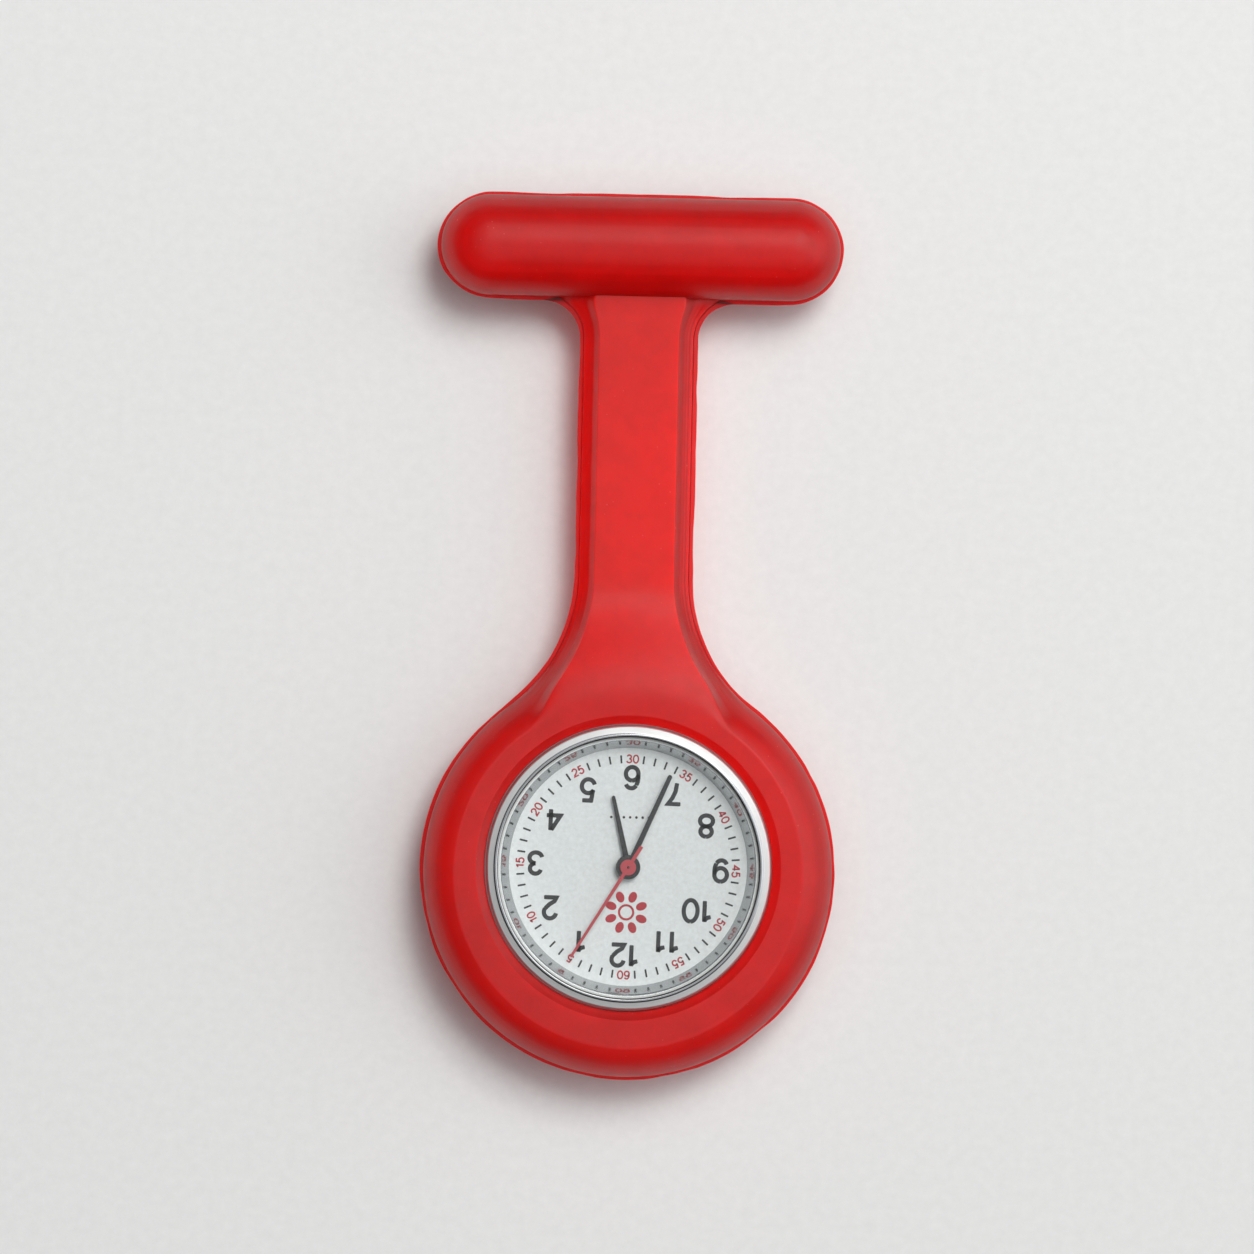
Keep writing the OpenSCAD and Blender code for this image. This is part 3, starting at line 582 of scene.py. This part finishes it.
class FOBWATCH_OT_finishes(bpy.types.Operator):
    """Makes every finish and gives it to the CAD nodes that keep their own shape"""

    bl_idname = "fobwatch.finishes"
    bl_label = "Finishes"

    def execute(self, context):
        holder, _, colours = settings(context)
        steel, dark_steel = (0.66, 0.67, 0.675), (0.5, 0.51, 0.52)
        ink = tuple(colours.ink)
        polished = metal_material("polished_steel", dark_steel, 0.14, spread=0.08)
        FINISHES.update(
            silicone=silicone_material(tuple(colours.silicone), tuple(colours.thin_silicone),
                                       holder.ring_top / 2),
            satin=turned_metal("satin_bezel_steel", (0.77, 0.77, 0.76), 0.44, WATCH, 0.05 * MM, 0.0008),
            polished=polished,
            ink=plain_material("black_ink", ink, 0.6, 0.1, 3000, 0.001),
            red_ink=plain_material("red_ink", tuple(colours.red_ink), 0.6, 0.1, 3000, 0.001),
        )
        worn = [
            (polished, "case_middle crown battery"),
            (metal_material("flange_steel", dark_steel, 0.09, 0.02, (0.13,) * 3), "flange_ring"),
            (turned_metal("turned_case_back", steel, 0.24, WATCH, 0.12 * MM, 0.002), "case_back"),
            (metal_material("brushed_steel", steel, 0.26, 0.003, (0.06, 1, 1)),
             "pin_bar catch_housing catch_roller train_bridge battery_clamp keyless_cover crown_tube"),
            (metal_material("drawn_wire", dark_steel, 0.2, 0.002, (0.05, 1, 1)),
             "pin_needle pin_hinge_rivet stem yoke setting_lever plate_screws cover_screws rotor_pinion "
             "quartz_can"),
            (metal_material("gilt_brass", BRASS, 0.2, 0.001),
             "clutch_wheel setting_wheel minute_wheel hour_wheel centre_wheel third_wheel fifth_wheel"),
            (wheel_material(), "seconds_wheel"),
            (metal_material("gold_plate", (0.85, 0.6, 0.22), 0.14), "dial_washer battery_contact"),
            (metal_material("soft_iron", (0.45, 0.45, 0.44), 0.34, 0.002), "stator coil_core"),
            (metal_material("enamelled_copper", (0.62, 0.22, 0.08), 0.22, 0.006, (1, 14, 14)), "coil"),
            (crystal_material(), "crystal"),
            (plain_material("dial_lacquer", tuple(colours.dial), 0.42, 0.06, 2600, 0.0015), "dial"),
            (plain_material("black_lacquer", ink, 0.34, 0.1, 2500, 0.0015), "hour_hand minute_hand"),
            (plain_material("red_lacquer", tuple(colours.red_hand), 0.45, 0.1, 2500, 0.0015),
             "seconds_hand"),
            (plain_material("black_nitrile", (0.02, 0.02, 0.021), 0.5), "case_back_gasket crown_o_ring"),
            (plain_material("white_nylon", (0.62, 0.63, 0.61), 0.4), "crystal_gasket"),
            (plain_material("white_acetal", (0.8, 0.8, 0.77), 0.42), "movement_holder"),
            (plain_material("dark_resin", (0.06, 0.062, 0.066), 0.45), "main_plate"),
            (plain_material("sintered_magnet", (0.1, 0.1, 0.105), 0.4, Metallic=0.6), "rotor_magnet"),
            (plain_material("solder_mask", (0.012, 0.12, 0.045), 0.28), "circuit_board"),
            (plain_material("black_epoxy", (0.012, 0.012, 0.012), 0.5), "circuit_chip"),
            (plain_material("bearing_ruby", (0.45, 0.01, 0.05), 0.12), "bridge_bushes"),
        ]
        for material, nodes in worn:
            for node in nodes.split():
                slots = NODES[node].data.materials
                slots.clear()
                slots.append(material)
        return {"FINISHED"}


# ---------------------------------------------------------------- silicone holder


def smooth(t):
    """Smooth step from 0 to 1."""
    t = min(max(t, 0.0), 1.0)
    return t * t * (3 - 2 * t)


def between(table, s):
    """Straight-line reading of a table of (position, value)."""
    for (a, u), (b, v) in zip(table, table[1:]):
        if s <= b:
            return u + (v - u) * max(s - a, 0) / (b - a)
    return table[-1][1]


# Width of the ring's lip, from its front opening to where its flat face begins
LIP_W = 1.15 * MM
# How far inside the outline the round sides would meet, as a share of the flash's width
FLASH_TUCK = 0.4
# Half the flash's thickness
FLASH_H = 0.05 * MM
# Strap's edge from the parting line up to the flat face: (share of its width, share of its height)
EDGE_STEPS = [(0.0, 0.04), (0.03, 0.12), (0.08, 0.2), (0.14, 0.22), (0.26, 0.275), (0.28, 0.3),
              (0.42, 0.36), (0.44, 0.385), (0.58, 0.44), (0.64, 0.49), (0.9, 0.93), (0.94, 0.98),
              (0.97, 1.0), (1.0, 1.0)]


class Station:
    """One place on a moulding's outline: the edge point, the point that its row of faces runs to,
    and how much of the profile there is the round one."""

    def __init__(self, edge, inner, inward, round_share, edge_w):
        self.edge = edge
        self.inner = inner
        run = inner - edge
        self.length = run.length
        self.along = run.normalized()
        self.slant = max(self.along.dot(inward), 0.2)
        self.round_share = round_share
        self.edge_w = edge_w


def holder_stations(h):
    """Right-hand half of the outline of the ring, the neck and the strap, about the ring's centre."""
    # Part of the neck over which the round profile gives way to the stepped one
    fade = 0.42
    inner_r = h.opening_r + LIP_W
    neck_x = h.strap_w / 2 + h.neck_r
    neck_y = math.sqrt((RING_R + h.neck_r) ** 2 - neck_x ** 2)
    neck = Vector((neck_x, neck_y, 0))
    join = math.degrees(math.atan2(neck_y, neck_x))
    round_w = RING_R - h.ridge_r
    bar_y = BAR.y - RING.y
    fillet_y = bar_y - h.bar_r - h.fillet_r
    out = []
    count = 96
    for i in range(count):
        a = -90 + (join + 90) * i / count
        p = polar(RING_R, a)
        out.append(Station(p, HEAD_SHIFT + polar(inner_r, a), -p.normalized(), 1.0, round_w))
    count = 40
    half = 22
    for i in range(count + 1):
        u = i / count
        a = 180 + join + (-join) * u
        p = neck + polar(h.neck_r, a)
        if i <= half:
            inner = HEAD_SHIFT + polar(inner_r, join + (90 - join) * i / half)
        else:
            low_y = HEAD_SHIFT.y + inner_r
            inner = Vector((0, low_y + (neck_y - low_y) * ((i - half) / (count - half)) ** 1.15, 0))
        share = 1 - smooth(u / fade)
        width = h.edge_w + (round_w - h.edge_w) * share ** 1.5
        out.append(Station(p, inner, (p - neck).normalized(), share, width))
    count = 36
    left = Vector((-1, 0, 0))
    for i in range(1, count + 1):
        y = neck_y + (fillet_y - neck_y) * i / count
        out.append(Station(Vector((h.strap_w / 2, y, 0)), Vector((0, y, 0)), left, 0.0, h.edge_w))
    count = 14
    fillet = Vector((h.strap_w / 2 + h.fillet_r, fillet_y, 0))
    end_y = bar_y - h.bar_r / 2
    for i in range(1, count + 1):
        p = fillet + polar(h.fillet_r, 180 - 90 * i / count)
        inner = Vector((0, fillet_y + (end_y - fillet_y) * i / count, 0))
        out.append(Station(p, inner, (p - fillet).normalized(), 0.0, h.edge_w))
    return out


def bar_stations(h):
    """Right-hand half of the bar's outline, about the bar's centre."""
    reach = h.bar_l / 2 - h.bar_r
    count = 48
    low = [Vector((reach * i / count, -h.bar_r, 0)) for i in range(count + 1)]
    end = arc(Vector((reach, 0, 0)), h.bar_r, -90, 90, 40)[1:-1]
    high = [Vector((p.x, h.bar_r, 0)) for p in reversed(low)]
    out = []
    for p in low + end + high:
        inner = Vector((min(p.x, reach), 0, 0))
        out.append(Station(p, inner, (inner - p).normalized(), 1.0, h.bar_r))
    return out


def flash_gap(h, p):
    """How far the flash falls short of its full width at a place: it is ragged here and there."""
    wander = noise.noise(p / (6 * MM)) * 0.5 + noise.noise(p / (1.6 * MM)) * 0.12
    return h.flash_w * min(max(0.1 - wander, 0.0), 0.45)


def extruded(bm, edges, key, place):
    """Extrudes a chain of edges; place gives each new vertex its position from its station number."""
    made = bmesh.ops.extrude_edge_only(bm, edges=edges)["geom"]
    points = {v for v in made if isinstance(v, bmesh.types.BMVert)}
    for v in points:
        v.co = place(v[key])
    return [e for e in made if isinstance(e, bmesh.types.BMEdge) and set(e.verts) <= points]


def mirrored(stations):
    """The same stations on the other side of the centre line, in the opposite order."""
    out = []
    for s in reversed(stations):
        copy = Station(*(Vector((-v.x, v.y, 0)) for v in (s.edge, s.inner, s.along)),
                       s.round_share, s.edge_w)
        copy.slant = s.slant
        out.append(copy)
    return out


def moulded(h, ring, face_height, round_fall, centre, part_z):
    """Both faces of a moulding about its ring of stations, with the flash where they meet.

    face_height(point) gives the height of the round part's and of the stepped part's full face above
    the parting plane, and round_fall(reach) the share of it that the round profile has at a distance
    from the outline. Returns the bmesh, its station layer and the innermost edges of both faces.
    """
    bm = bmesh.new()
    key = bm.verts.layers.int.new("station")
    shares = sorted({q for q, _ in EDGE_STEPS} | {0.015, 0.05, 0.11, 0.22, 0.4, 0.58, 0.76, 0.82, 0.86})
    face_rows = 6
    lips, ends = [], []
    for side in (1, -1):

        def put(i, reach, height):
            s = ring[i]
            p = centre + s.edge + s.along * min(reach, s.length)
            return Vector((p.x, p.y, part_z + side * height))

        def on_edge(i, q):
            s = ring[i]
            reach = h.flash_w + q * (s.edge_w - h.flash_w)
            run = min(reach / s.slant, s.length)
            round_h, step_h = face_height(s.edge + s.along * run)
            height = s.round_share * round_fall(reach) * round_h
            height += (1 - s.round_share) * between(EDGE_STEPS, q) * step_h
            return put(i, run, max(height, FLASH_H * 1.25))

        def on_face(i, q):
            s = ring[i]
            start = min(s.edge_w / s.slant, s.length)
            run = start + (s.length - start) * q
            round_h, step_h = face_height(s.edge + s.along * run)
            height = s.round_share * round_fall(run * s.slant) * round_h
            return put(i, run, height + (1 - s.round_share) * step_h)

        points = [bm.verts.new(put(i, flash_gap(h, s.edge + centre), FLASH_H)) for i, s in enumerate(ring)]
        for i, v in enumerate(points):
            v[key] = i
        edges = [bm.edges.new(pair) for pair in zip(points, points[1:] + points[:1])]
        lips += edges
        edges = extruded(bm, edges, key, lambda i: put(i, h.flash_w * 0.94, FLASH_H * 1.2))
        for q in shares:
            edges = extruded(bm, edges, key, lambda i: on_edge(i, q))
        for row in range(1, face_rows + 1):
            edges = extruded(bm, edges, key, lambda i: on_face(i, row / face_rows))
        ends.append(edges)
    bmesh.ops.bridge_loops(bm, edges=lips)
    return bm, key, ends


class FOBWATCH_OT_holder(bpy.types.Operator):
    """Moulds the silicone holder: ring, neck, strap and bar with the flash along their parting line"""

    bl_idname = "fobwatch.holder"
    bl_label = "Silicone holder"

    def execute(self, context):
        h = settings(context)[0]
        part_z = h.ring_top / 2
        ring_face = h.ring_top - part_z
        strap_face = h.strap_h / 2
        outer_r = RING_R - h.flash_w * FLASH_TUCK
        side_c = (outer_r ** 2 - h.ridge_r ** 2 - part_z ** 2) / (2 * (outer_r - h.ridge_r))
        side_r = outer_r - side_c

        def ring_round(reach):
            r = max(RING_R - reach - side_c, 0)
            return min(math.sqrt(max(side_r ** 2 - r ** 2, 0)) / ring_face, 1.0)

        def holder_face(p):
            r = p.length
            climb = 1 - smooth((r - h.ridge_r) / h.neck_l)
            return ring_face, strap_face + (ring_face - strap_face) * climb

        stations = holder_stations(h)
        ring = stations + mirrored(stations[1:])
        bm, key, ends = moulded(h, ring, holder_face, ring_round, RING, part_z)
        self.turn_bore(bm, h, ring, key, ends[0])
        bmesh.ops.remove_doubles(bm, verts=bm.verts, dist=2e-6)
        bmesh.ops.recalc_face_normals(bm, faces=bm.faces)
        piece = new_piece("holder_moulding", bm, FINISHES["silicone"], "holder", 28)
        combine(piece, self.bar_cover(h, part_z), "UNION")
        self.cut_rooms(piece)
        bpy.context.view_layer.update()
        soften(piece, 32)
        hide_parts("silicone_holder")
        return {"FINISHED"}

    def turn_bore(self, bm, h, ring, key, edges):
        """Turns the ring's lip, its pocket for the case and its back opening, from front to back."""
        inner_r = h.opening_r + LIP_W
        edges = [e for e in edges
                 if all(abs((v.co.xy - WATCH.xy).length - inner_r) < 1e-6 for v in e.verts)]
        top, front, back = h.ring_top, h.opening_r, h.back_opening_r
        bore = [
            (front + 0.85 * MM, top - 0.01 * MM), (front + 0.78 * MM, top - 0.06 * MM),
            (front + 0.3 * MM, top - 0.42 * MM), (front + 0.12 * MM, top - 0.5 * MM),
            (front + 0.03 * MM, top - 0.58 * MM), (front, top - 0.7 * MM), (front, 8.45 * MM),
            (h.pocket_r, 8.4 * MM), (h.pocket_r, 1.2 * MM), (back + 0.05 * MM, 1.2 * MM),
            (back, 1.1 * MM), (back, 0.25 * MM), (back + 0.1 * MM, 0.06 * MM), (back + 0.35 * MM, 0.0),
            (inner_r, 0.0),
        ]
        for r, z in bore:
            edges = extruded(bm, edges, key, lambda i: RING + HEAD_SHIFT + UP * z
                             + (ring[i].inner - HEAD_SHIFT).normalized() * r)

    def bar_cover(self, h, part_z):
        """The bar as a closed solid of its own, flat where it lies on its back."""
        def bar_round(reach):
            q = max(h.bar_r - reach, 0) / (h.bar_r - h.flash_w * FLASH_TUCK)
            return math.sqrt(max(1 - q ** 2, 0))

        stations = bar_stations(h)
        ring = stations + mirrored(stations[1:-1])
        bm = moulded(h, ring, lambda p: (h.bar_r, h.bar_r), bar_round, BAR, part_z)[0]
        for v in bm.verts:
            v.co.z = max(v.co.z, 0.0)
        bmesh.ops.remove_doubles(bm, verts=bm.verts, dist=2e-6)
        bmesh.ops.recalc_face_normals(bm, faces=bm.faces)
        return holding("bar_cover", bm)

    def cut_rooms(self, piece):
        """Opens the slot for the pin in the back of the bar, and the room for the crown in the ring."""
        low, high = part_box("pin_bar")
        half_l, gap = 15.5 * MM, 0.1 * MM

        def slot(half_w, bottom, top, round_r):
            cutter = box_cutter(Vector((-half_l, BAR.y - half_w, bottom)),
                                Vector((half_l, BAR.y + half_w, top)), round_r)
            combine(piece, cutter, "DIFFERENCE")

        slot(half_w=1.8 * MM, bottom=-MM, top=2 * MM, round_r=1.2 * MM)
        slot(half_w=2.6 * MM, bottom=0.9 * MM, top=high.z + gap, round_r=1.4 * MM)
        bed_h, gaps = 0.6 * MM, Vector((gap, gap, gap))
        bed = box_cutter(Vector((low.x, low.y, high.z - bed_h)) - gaps, high + gaps)
        combine(piece, bed, "DIFFERENCE")
        room_r, room_l, room_x = 2.3 * MM, 3.5 * MM, WATCH.x - 16.25 * MM
        bm = bmesh.new()
        bmesh.ops.create_cone(bm, cap_ends=True, segments=48, radius1=room_r, radius2=room_r,
                              depth=room_l, matrix=Matrix.Rotation(math.radians(90), 4, "Y"))
        bmesh.ops.translate(bm, verts=bm.verts, vec=(room_x, WATCH.y, CROWN.z))
        combine(piece, holding("crown_room", bm), "DIFFERENCE")


# ---------------------------------------------------------------- dial printing

# Strokes of each numeral in a box 0.62 wide and 1 high, as (kind, values):
# "line" x1 y1 x2 y2 ..., "arc" centre x, y, radii x, y, start angle, end angle
STROKES = {
    "0": [("arc", 0.33, 0.5, 0.33, 0.51, 90, 450)],
    "1": [("line", 0.31, 0.0, 0.31, 1.0), ("line", 0.0, 0.76, 0.14, 0.79, 0.25, 0.86, 0.31, 0.98)],
    "2": [("arc", 0.31, 0.7, 0.29, 0.3, 172, -35),
          ("line", 0.55, 0.54, 0.35, 0.33, 0.12, 0.18, 0.03, 0.0, 0.62, 0.0)],
    "3": [("arc", 0.31, 0.755, 0.26, 0.245, 170, -90), ("arc", 0.31, 0.25, 0.3, 0.26, 90, -170)],
    "4": [("line", 0.46, 0.0, 0.46, 1.0), ("line", 0.42, 0.99, 0.0, 0.29, 0.66, 0.29)],
    "5": [("line", 0.57, 1.0, 0.14, 1.0, 0.07, 0.48), ("arc", 0.3, 0.32, 0.31, 0.33, 148, -165)],
    "6": [("arc", 0.31, 0.31, 0.3, 0.32, 90, 450),
          ("line", 0.01, 0.34, 0.01, 0.5, 0.03, 0.68, 0.09, 0.85),
          ("arc", 0.33, 0.72, 0.27, 0.28, 150, 20)],
    "7": [("line", 0.02, 1.0, 0.62, 1.0, 0.42, 0.72, 0.28, 0.4, 0.22, 0.0)],
    "8": [("arc", 0.31, 0.755, 0.27, 0.245, 90, 450), ("arc", 0.31, 0.25, 0.31, 0.26, 90, 450)],
    "9": [("arc", 0.31, 0.69, 0.3, 0.32, 90, 450),
          ("line", 0.61, 0.66, 0.61, 0.5, 0.59, 0.32, 0.53, 0.15),
          ("arc", 0.29, 0.28, 0.27, 0.28, -30, -160)],
}
# Width of a digit and the distance to the next, which is less after a 1, in heights of a digit
DIGIT_W = 0.64
DIGIT_STEP = 0.87
ONE_STEP = 0.64
# Width of a numeral's strokes, as a share of its height
PEN = 0.17


def stroke_path(stroke):
    """Points of one stroke of a numeral, in the numeral's own box."""
    kind, values = stroke[0], stroke[1:]
    if kind == "line":
        return [Vector((values[i], values[i + 1], 0)) for i in range(0, len(values), 2)]
    x, y, rx, ry, start, end = values
    steps = max(int(abs(end - start) / 12), 4)
    points = []
    for i in range(steps + 1):
        a = math.radians(start + (end - start) * i / steps)
        points.append(Vector((x + rx * math.cos(a), y + ry * math.sin(a), 0)))
    return points


def digit_steps(text):
    """Distances between the digits of a number, and its whole width, in heights of a digit."""
    steps = [ONE_STEP if digit == "1" else DIGIT_STEP for digit in text]
    return steps, sum(steps) - DIGIT_STEP + DIGIT_W


def hour_place_r(d, hour):
    """Distance of an hour numeral from the dial's centre, where its box just fits in the hour circle."""
    weight = d.hour_digit_h * PEN
    width = digit_steps(str(hour))[1] * (d.hour_digit_h - weight) + weight
    turn = math.radians(30 * hour)
    half = (abs(math.sin(turn)) * width + abs(math.cos(turn)) * d.hour_digit_h) / 2
    return math.sqrt(half ** 2 - (width ** 2 + d.hour_digit_h ** 2) / 4 + d.hour_r ** 2) - half


def print_number(bm, text, height, place, turn, z, ink_h):
    """Prints a number, centred on a place and turned by an angle in degrees."""
    weight = height * PEN
    body = height - weight
    steps, width = digit_steps(text)
    spin = Matrix.Rotation(math.radians(turn) - bpy.context.scene.fobwatch_dial.print_turn, 3, "Z")
    x = -width / 2
    for digit, step in zip(text, steps):
        for stroke in STROKES[digit]:
            path = [Vector((x + p.x, p.y - 0.5, 0)) * body for p in stroke_path(stroke)]
            ribbon(bm, [place + spin @ p for p in path], weight, z, ink_h)
        x += step


def dial_point(r, angle):
    """Place on the dial at an angle clockwise from 12, where 12 points to -Y."""
    turn = math.degrees(bpy.context.scene.fobwatch_dial.print_turn)
    return Vector((WATCH.x, WATCH.y, 0)) + polar(r, -90 - angle - turn)


class FOBWATCH_OT_dial_print(bpy.types.Operator):
    """Prints the hour numerals, the minute numerals, the ticks and the plain ornament on the dial"""

    bl_idname = "fobwatch.dial_print"
    bl_label = "Dial printing"

    def execute(self, context):
        d = settings(context)[1]
        z, ink = DIAL_TOP, d.ink_h
        black = bmesh.new()
        for hour in range(1, 13):
            print_number(black, str(hour), d.hour_digit_h,
                         dial_point(hour_place_r(d, hour), 30 * hour), 180, z, ink)
        for minute in range(60):
            if minute % 5:
                start, end = dial_point(d.tick_r[0], 6 * minute), dial_point(d.tick_r[1], 6 * minute)
                ribbon(black, [start, end], d.tick_w, z, ink)
        new_piece("dial_black_print", black, FINISHES["ink"], "holder", 30)
        red = bmesh.new()
        for hour in range(1, 13):
            print_number(red, str(5 * hour), d.minute_digit_h,
                         dial_point(d.minute_r, 30 * hour), -180 - 30 * hour, z, ink)
        self.ornament(red, z, ink)
        new_piece("dial_red_print", red, FINISHES["red_ink"], "holder", 30)
        self.dots(z, ink)
        return {"FINISHED"}

    def ornament(self, bm, z, ink):
        """Plain rosette: a ring of eight petals round a small ring."""
        place = dial_point(4.48 * MM, 0)
        ring_r, ring_w = 0.7 * MM, 0.22 * MM
        petal_r, half_l, half_w = 1.62, 0.56, 0.4
        ribbon(bm, arc(place, ring_r, 0, 360, 40), ring_w, z, ink, False)
        for i in range(8):
            turn = Matrix.Rotation(math.radians(45 * i + 22.5), 3, "Z")
            petal = [Vector(((petal_r + half_l * math.cos(t)) * MM, half_w * math.sin(t) * MM, 0))
                     for t in (math.radians(15 * k) for k in range(24))]
            slab(bm, [place + turn @ p for p in petal], z, ink)

    def dots(self, z, ink):
        """Row of dots below the 6."""
        row_r, step, dot_r = 4.9 * MM, 0.62 * MM, 0.13 * MM
        bm = bmesh.new()
        for i in range(-3, 4):
            place = dial_point(row_r, 180) + Vector((i * step, 0, 0))
            slab(bm, arc(place, dot_r, 0, 360, 16)[:-1], z, ink)
        new_piece("dial_dots", bm, FINISHES["ink"], "holder", 30)


# ---------------------------------------------------------------- bezel


class FOBWATCH_OT_bezel(bpy.types.Operator):
    """Turns the bezel with its satin face, its polished rim and the step down to the crystal"""

    bl_idname = "fobwatch.bezel"
    bl_label = "Bezel"

    def execute(self, context):
        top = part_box("bezel")[1].z / MM
        rim_r = 13.28
        profile = [
            (13.57, 8.42), (14.02, 8.42), (14.05, 8.46), (14.05, 9.16), (14.03, 9.3), (13.97, 9.42),
            (13.88, 9.5), (13.78, 9.54), (13.3, top - 0.09), (13.22, top - 0.05), (13.14, top - 0.01),
            (13.05, top), (12.96, top - 0.02), (12.9, top - 0.07), (12.86, top - 0.16), (12.85, 9.18),
            (12.87, 9.16), (13.57, 9.16),
        ]
        piece = new_piece("bezel_turned", spun(profile, WATCH, 256), FINISHES["satin"], "holder", 40)
        piece.data.materials.append(FINISHES["polished"])
        for face in piece.data.polygons:
            if (face.center.xy - WATCH.xy).length < rim_r * MM:
                face.material_index = 1
        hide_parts("bezel")
        return {"FINISHED"}


# ---------------------------------------------------------------- stage


def lamp(name, size, place, energy, colour):
    """Square area lamp that faces the origin."""
    data = bpy.data.lights.new(name, "AREA")
    data.shape = "SQUARE"
    data.size = size
    data.energy = energy
    data.color = colour
    light = bpy.data.objects.new(name, data)
    light.location = place
    light.rotation_euler = (-Vector(place)).to_track_quat("-Z", "Y").to_euler()
    bpy.context.scene.collection.objects.link(light)
    return light


def floor_material(colour):
    """Matt paper with a faint grain."""
    s = Shades("matt_paper")
    fleck = s.noise(900, 6, 0.65)
    s.link(s.ramp(fleck, [(0.3, scaled(colour, 0.965)), (0.7, scaled(colour, 1.02))]),
           s.shader.inputs["Base Color"])
    s.set(Roughness=0.9)
    s.shader.inputs["Specular IOR Level"].default_value = 0.2
    s.bump(s.noise(1300, 4, 0.6), 0.05 * MM, 0.3)
    return s.material


class FOBWATCH_OT_stage(bpy.types.Operator):
    """Lays out the floor, the soft light and the camera above the watch"""

    bl_idname = "fobwatch.stage"
    bl_label = "Stage"

    def execute(self, context):
        colours = settings(context)[2]
        bm = bmesh.new()
        bmesh.ops.create_grid(bm, x_segments=8, y_segments=8, size=1.5)
        floor = holding("floor", bm)
        floor.data.materials.append(floor_material(tuple(colours.floor)))
        self.light(context.scene)
        self.camera(context.scene)
        return {"FINISHED"}

    def light(self, scene):
        """A soft lamp from the upper right, of which a part gives no glints, and a dim world with a
        bright patch overhead and one low on the right."""
        place, tint = (0.22, 0.38, 0.75), (1.0, 0.99, 0.97)
        lamp("key_light", 0.5, place, 1.65, tint)
        lamp("key_wash", 0.34, place, 3.1, tint).visible_glossy = False
        world = bpy.data.worlds.new("window_room")
        sky = Nodes(world, "Generated")
        background = sky.tree.nodes["Background"]

        def patch(toward, low, high, dark, bright):
            return sky.span(sky.facing(sky.place, toward), low, high, dark, bright,
                            interpolation_type="SMOOTHSTEP")

        ceiling = patch((0.17, 0.17, 0.97), 0.6, 0.88, 0.03, 0.86)
        window = patch((0.92, 0.12, 0.38), 0.78, 0.96, 0.0, 1.3)
        above = patch((0, 0, 1), 0.96, 0.993, 1.0, 0.5)
        level = sky.math("MULTIPLY", sky.math("ADD", ceiling, window), above)
        sky.link(level, background.inputs["Strength"])
        background.inputs["Color"].default_value = (0.97, 0.98, 1.0, 1)
        scene.world = world

    def camera(self, scene):
        """Camera looking straight down, a little to the left, turned with the watch."""
        target = Vector((-0.57, 1.0, 5)) * MM
        offset = Vector((-12, 0, 600)) * MM
        view_w = 124.2 * MM
        lean = math.radians(1.24)
        data = bpy.data.cameras.new("camera")
        data.sensor_width = 36
        data.lens = data.sensor_width * offset.length / view_w
        camera = bpy.data.objects.new("camera", data)
        camera.location = target + offset
        back = offset.normalized()
        right = Vector((-math.sin(lean), math.cos(lean), 0)).cross(back).normalized()
        turn = Matrix((right, back.cross(right), back)).transposed()
        camera.matrix_world = Matrix.Translation(camera.location) @ turn.to_4x4()
        scene.collection.objects.link(camera)
        scene.camera = camera
        scene.view_settings.view_transform = "Standard"


# ---------------------------------------------------------------- add-on


PIECES = (FOBWATCH_OT_finishes, FOBWATCH_OT_holder, FOBWATCH_OT_bezel, FOBWATCH_OT_dial_print,
          FOBWATCH_OT_stage)


class FOBWATCH_PT_panel(bpy.types.Panel):
    """Lists the watch's settings and pieces"""

    bl_idname = "FOBWATCH_PT_panel"
    bl_label = "Fob Watch"
    bl_space_type = "VIEW_3D"
    bl_region_type = "UI"
    bl_category = "Fob Watch"

    def draw(self, context):
        for group in settings(context):
            box = self.layout.box()
            for key in group.bl_rna.properties.keys():
                if key not in ("rna_type", "name"):
                    box.prop(group, key)
        for piece in PIECES:
            self.layout.operator(piece.bl_idname)


CLASSES = (FOBWATCH_PG_holder, FOBWATCH_PG_dial, FOBWATCH_PG_colours, *PIECES, FOBWATCH_PT_panel)


def register():
    for c in CLASSES:
        bpy.utils.register_class(c)
    scene = bpy.types.Scene
    scene.fobwatch_holder = bpy.props.PointerProperty(type=FOBWATCH_PG_holder)
    scene.fobwatch_dial = bpy.props.PointerProperty(type=FOBWATCH_PG_dial)
    scene.fobwatch_colours = bpy.props.PointerProperty(type=FOBWATCH_PG_colours)


def unregister():
    del bpy.types.Scene.fobwatch_holder
    del bpy.types.Scene.fobwatch_dial
    del bpy.types.Scene.fobwatch_colours
    for c in reversed(CLASSES):
        bpy.utils.unregister_class(c)


def main():
    register()
    for piece in PIECES:
        group, name = piece.bl_idname.split(".")
        getattr(getattr(bpy.ops, group), name)()


if __name__ == "__main__":
    main()
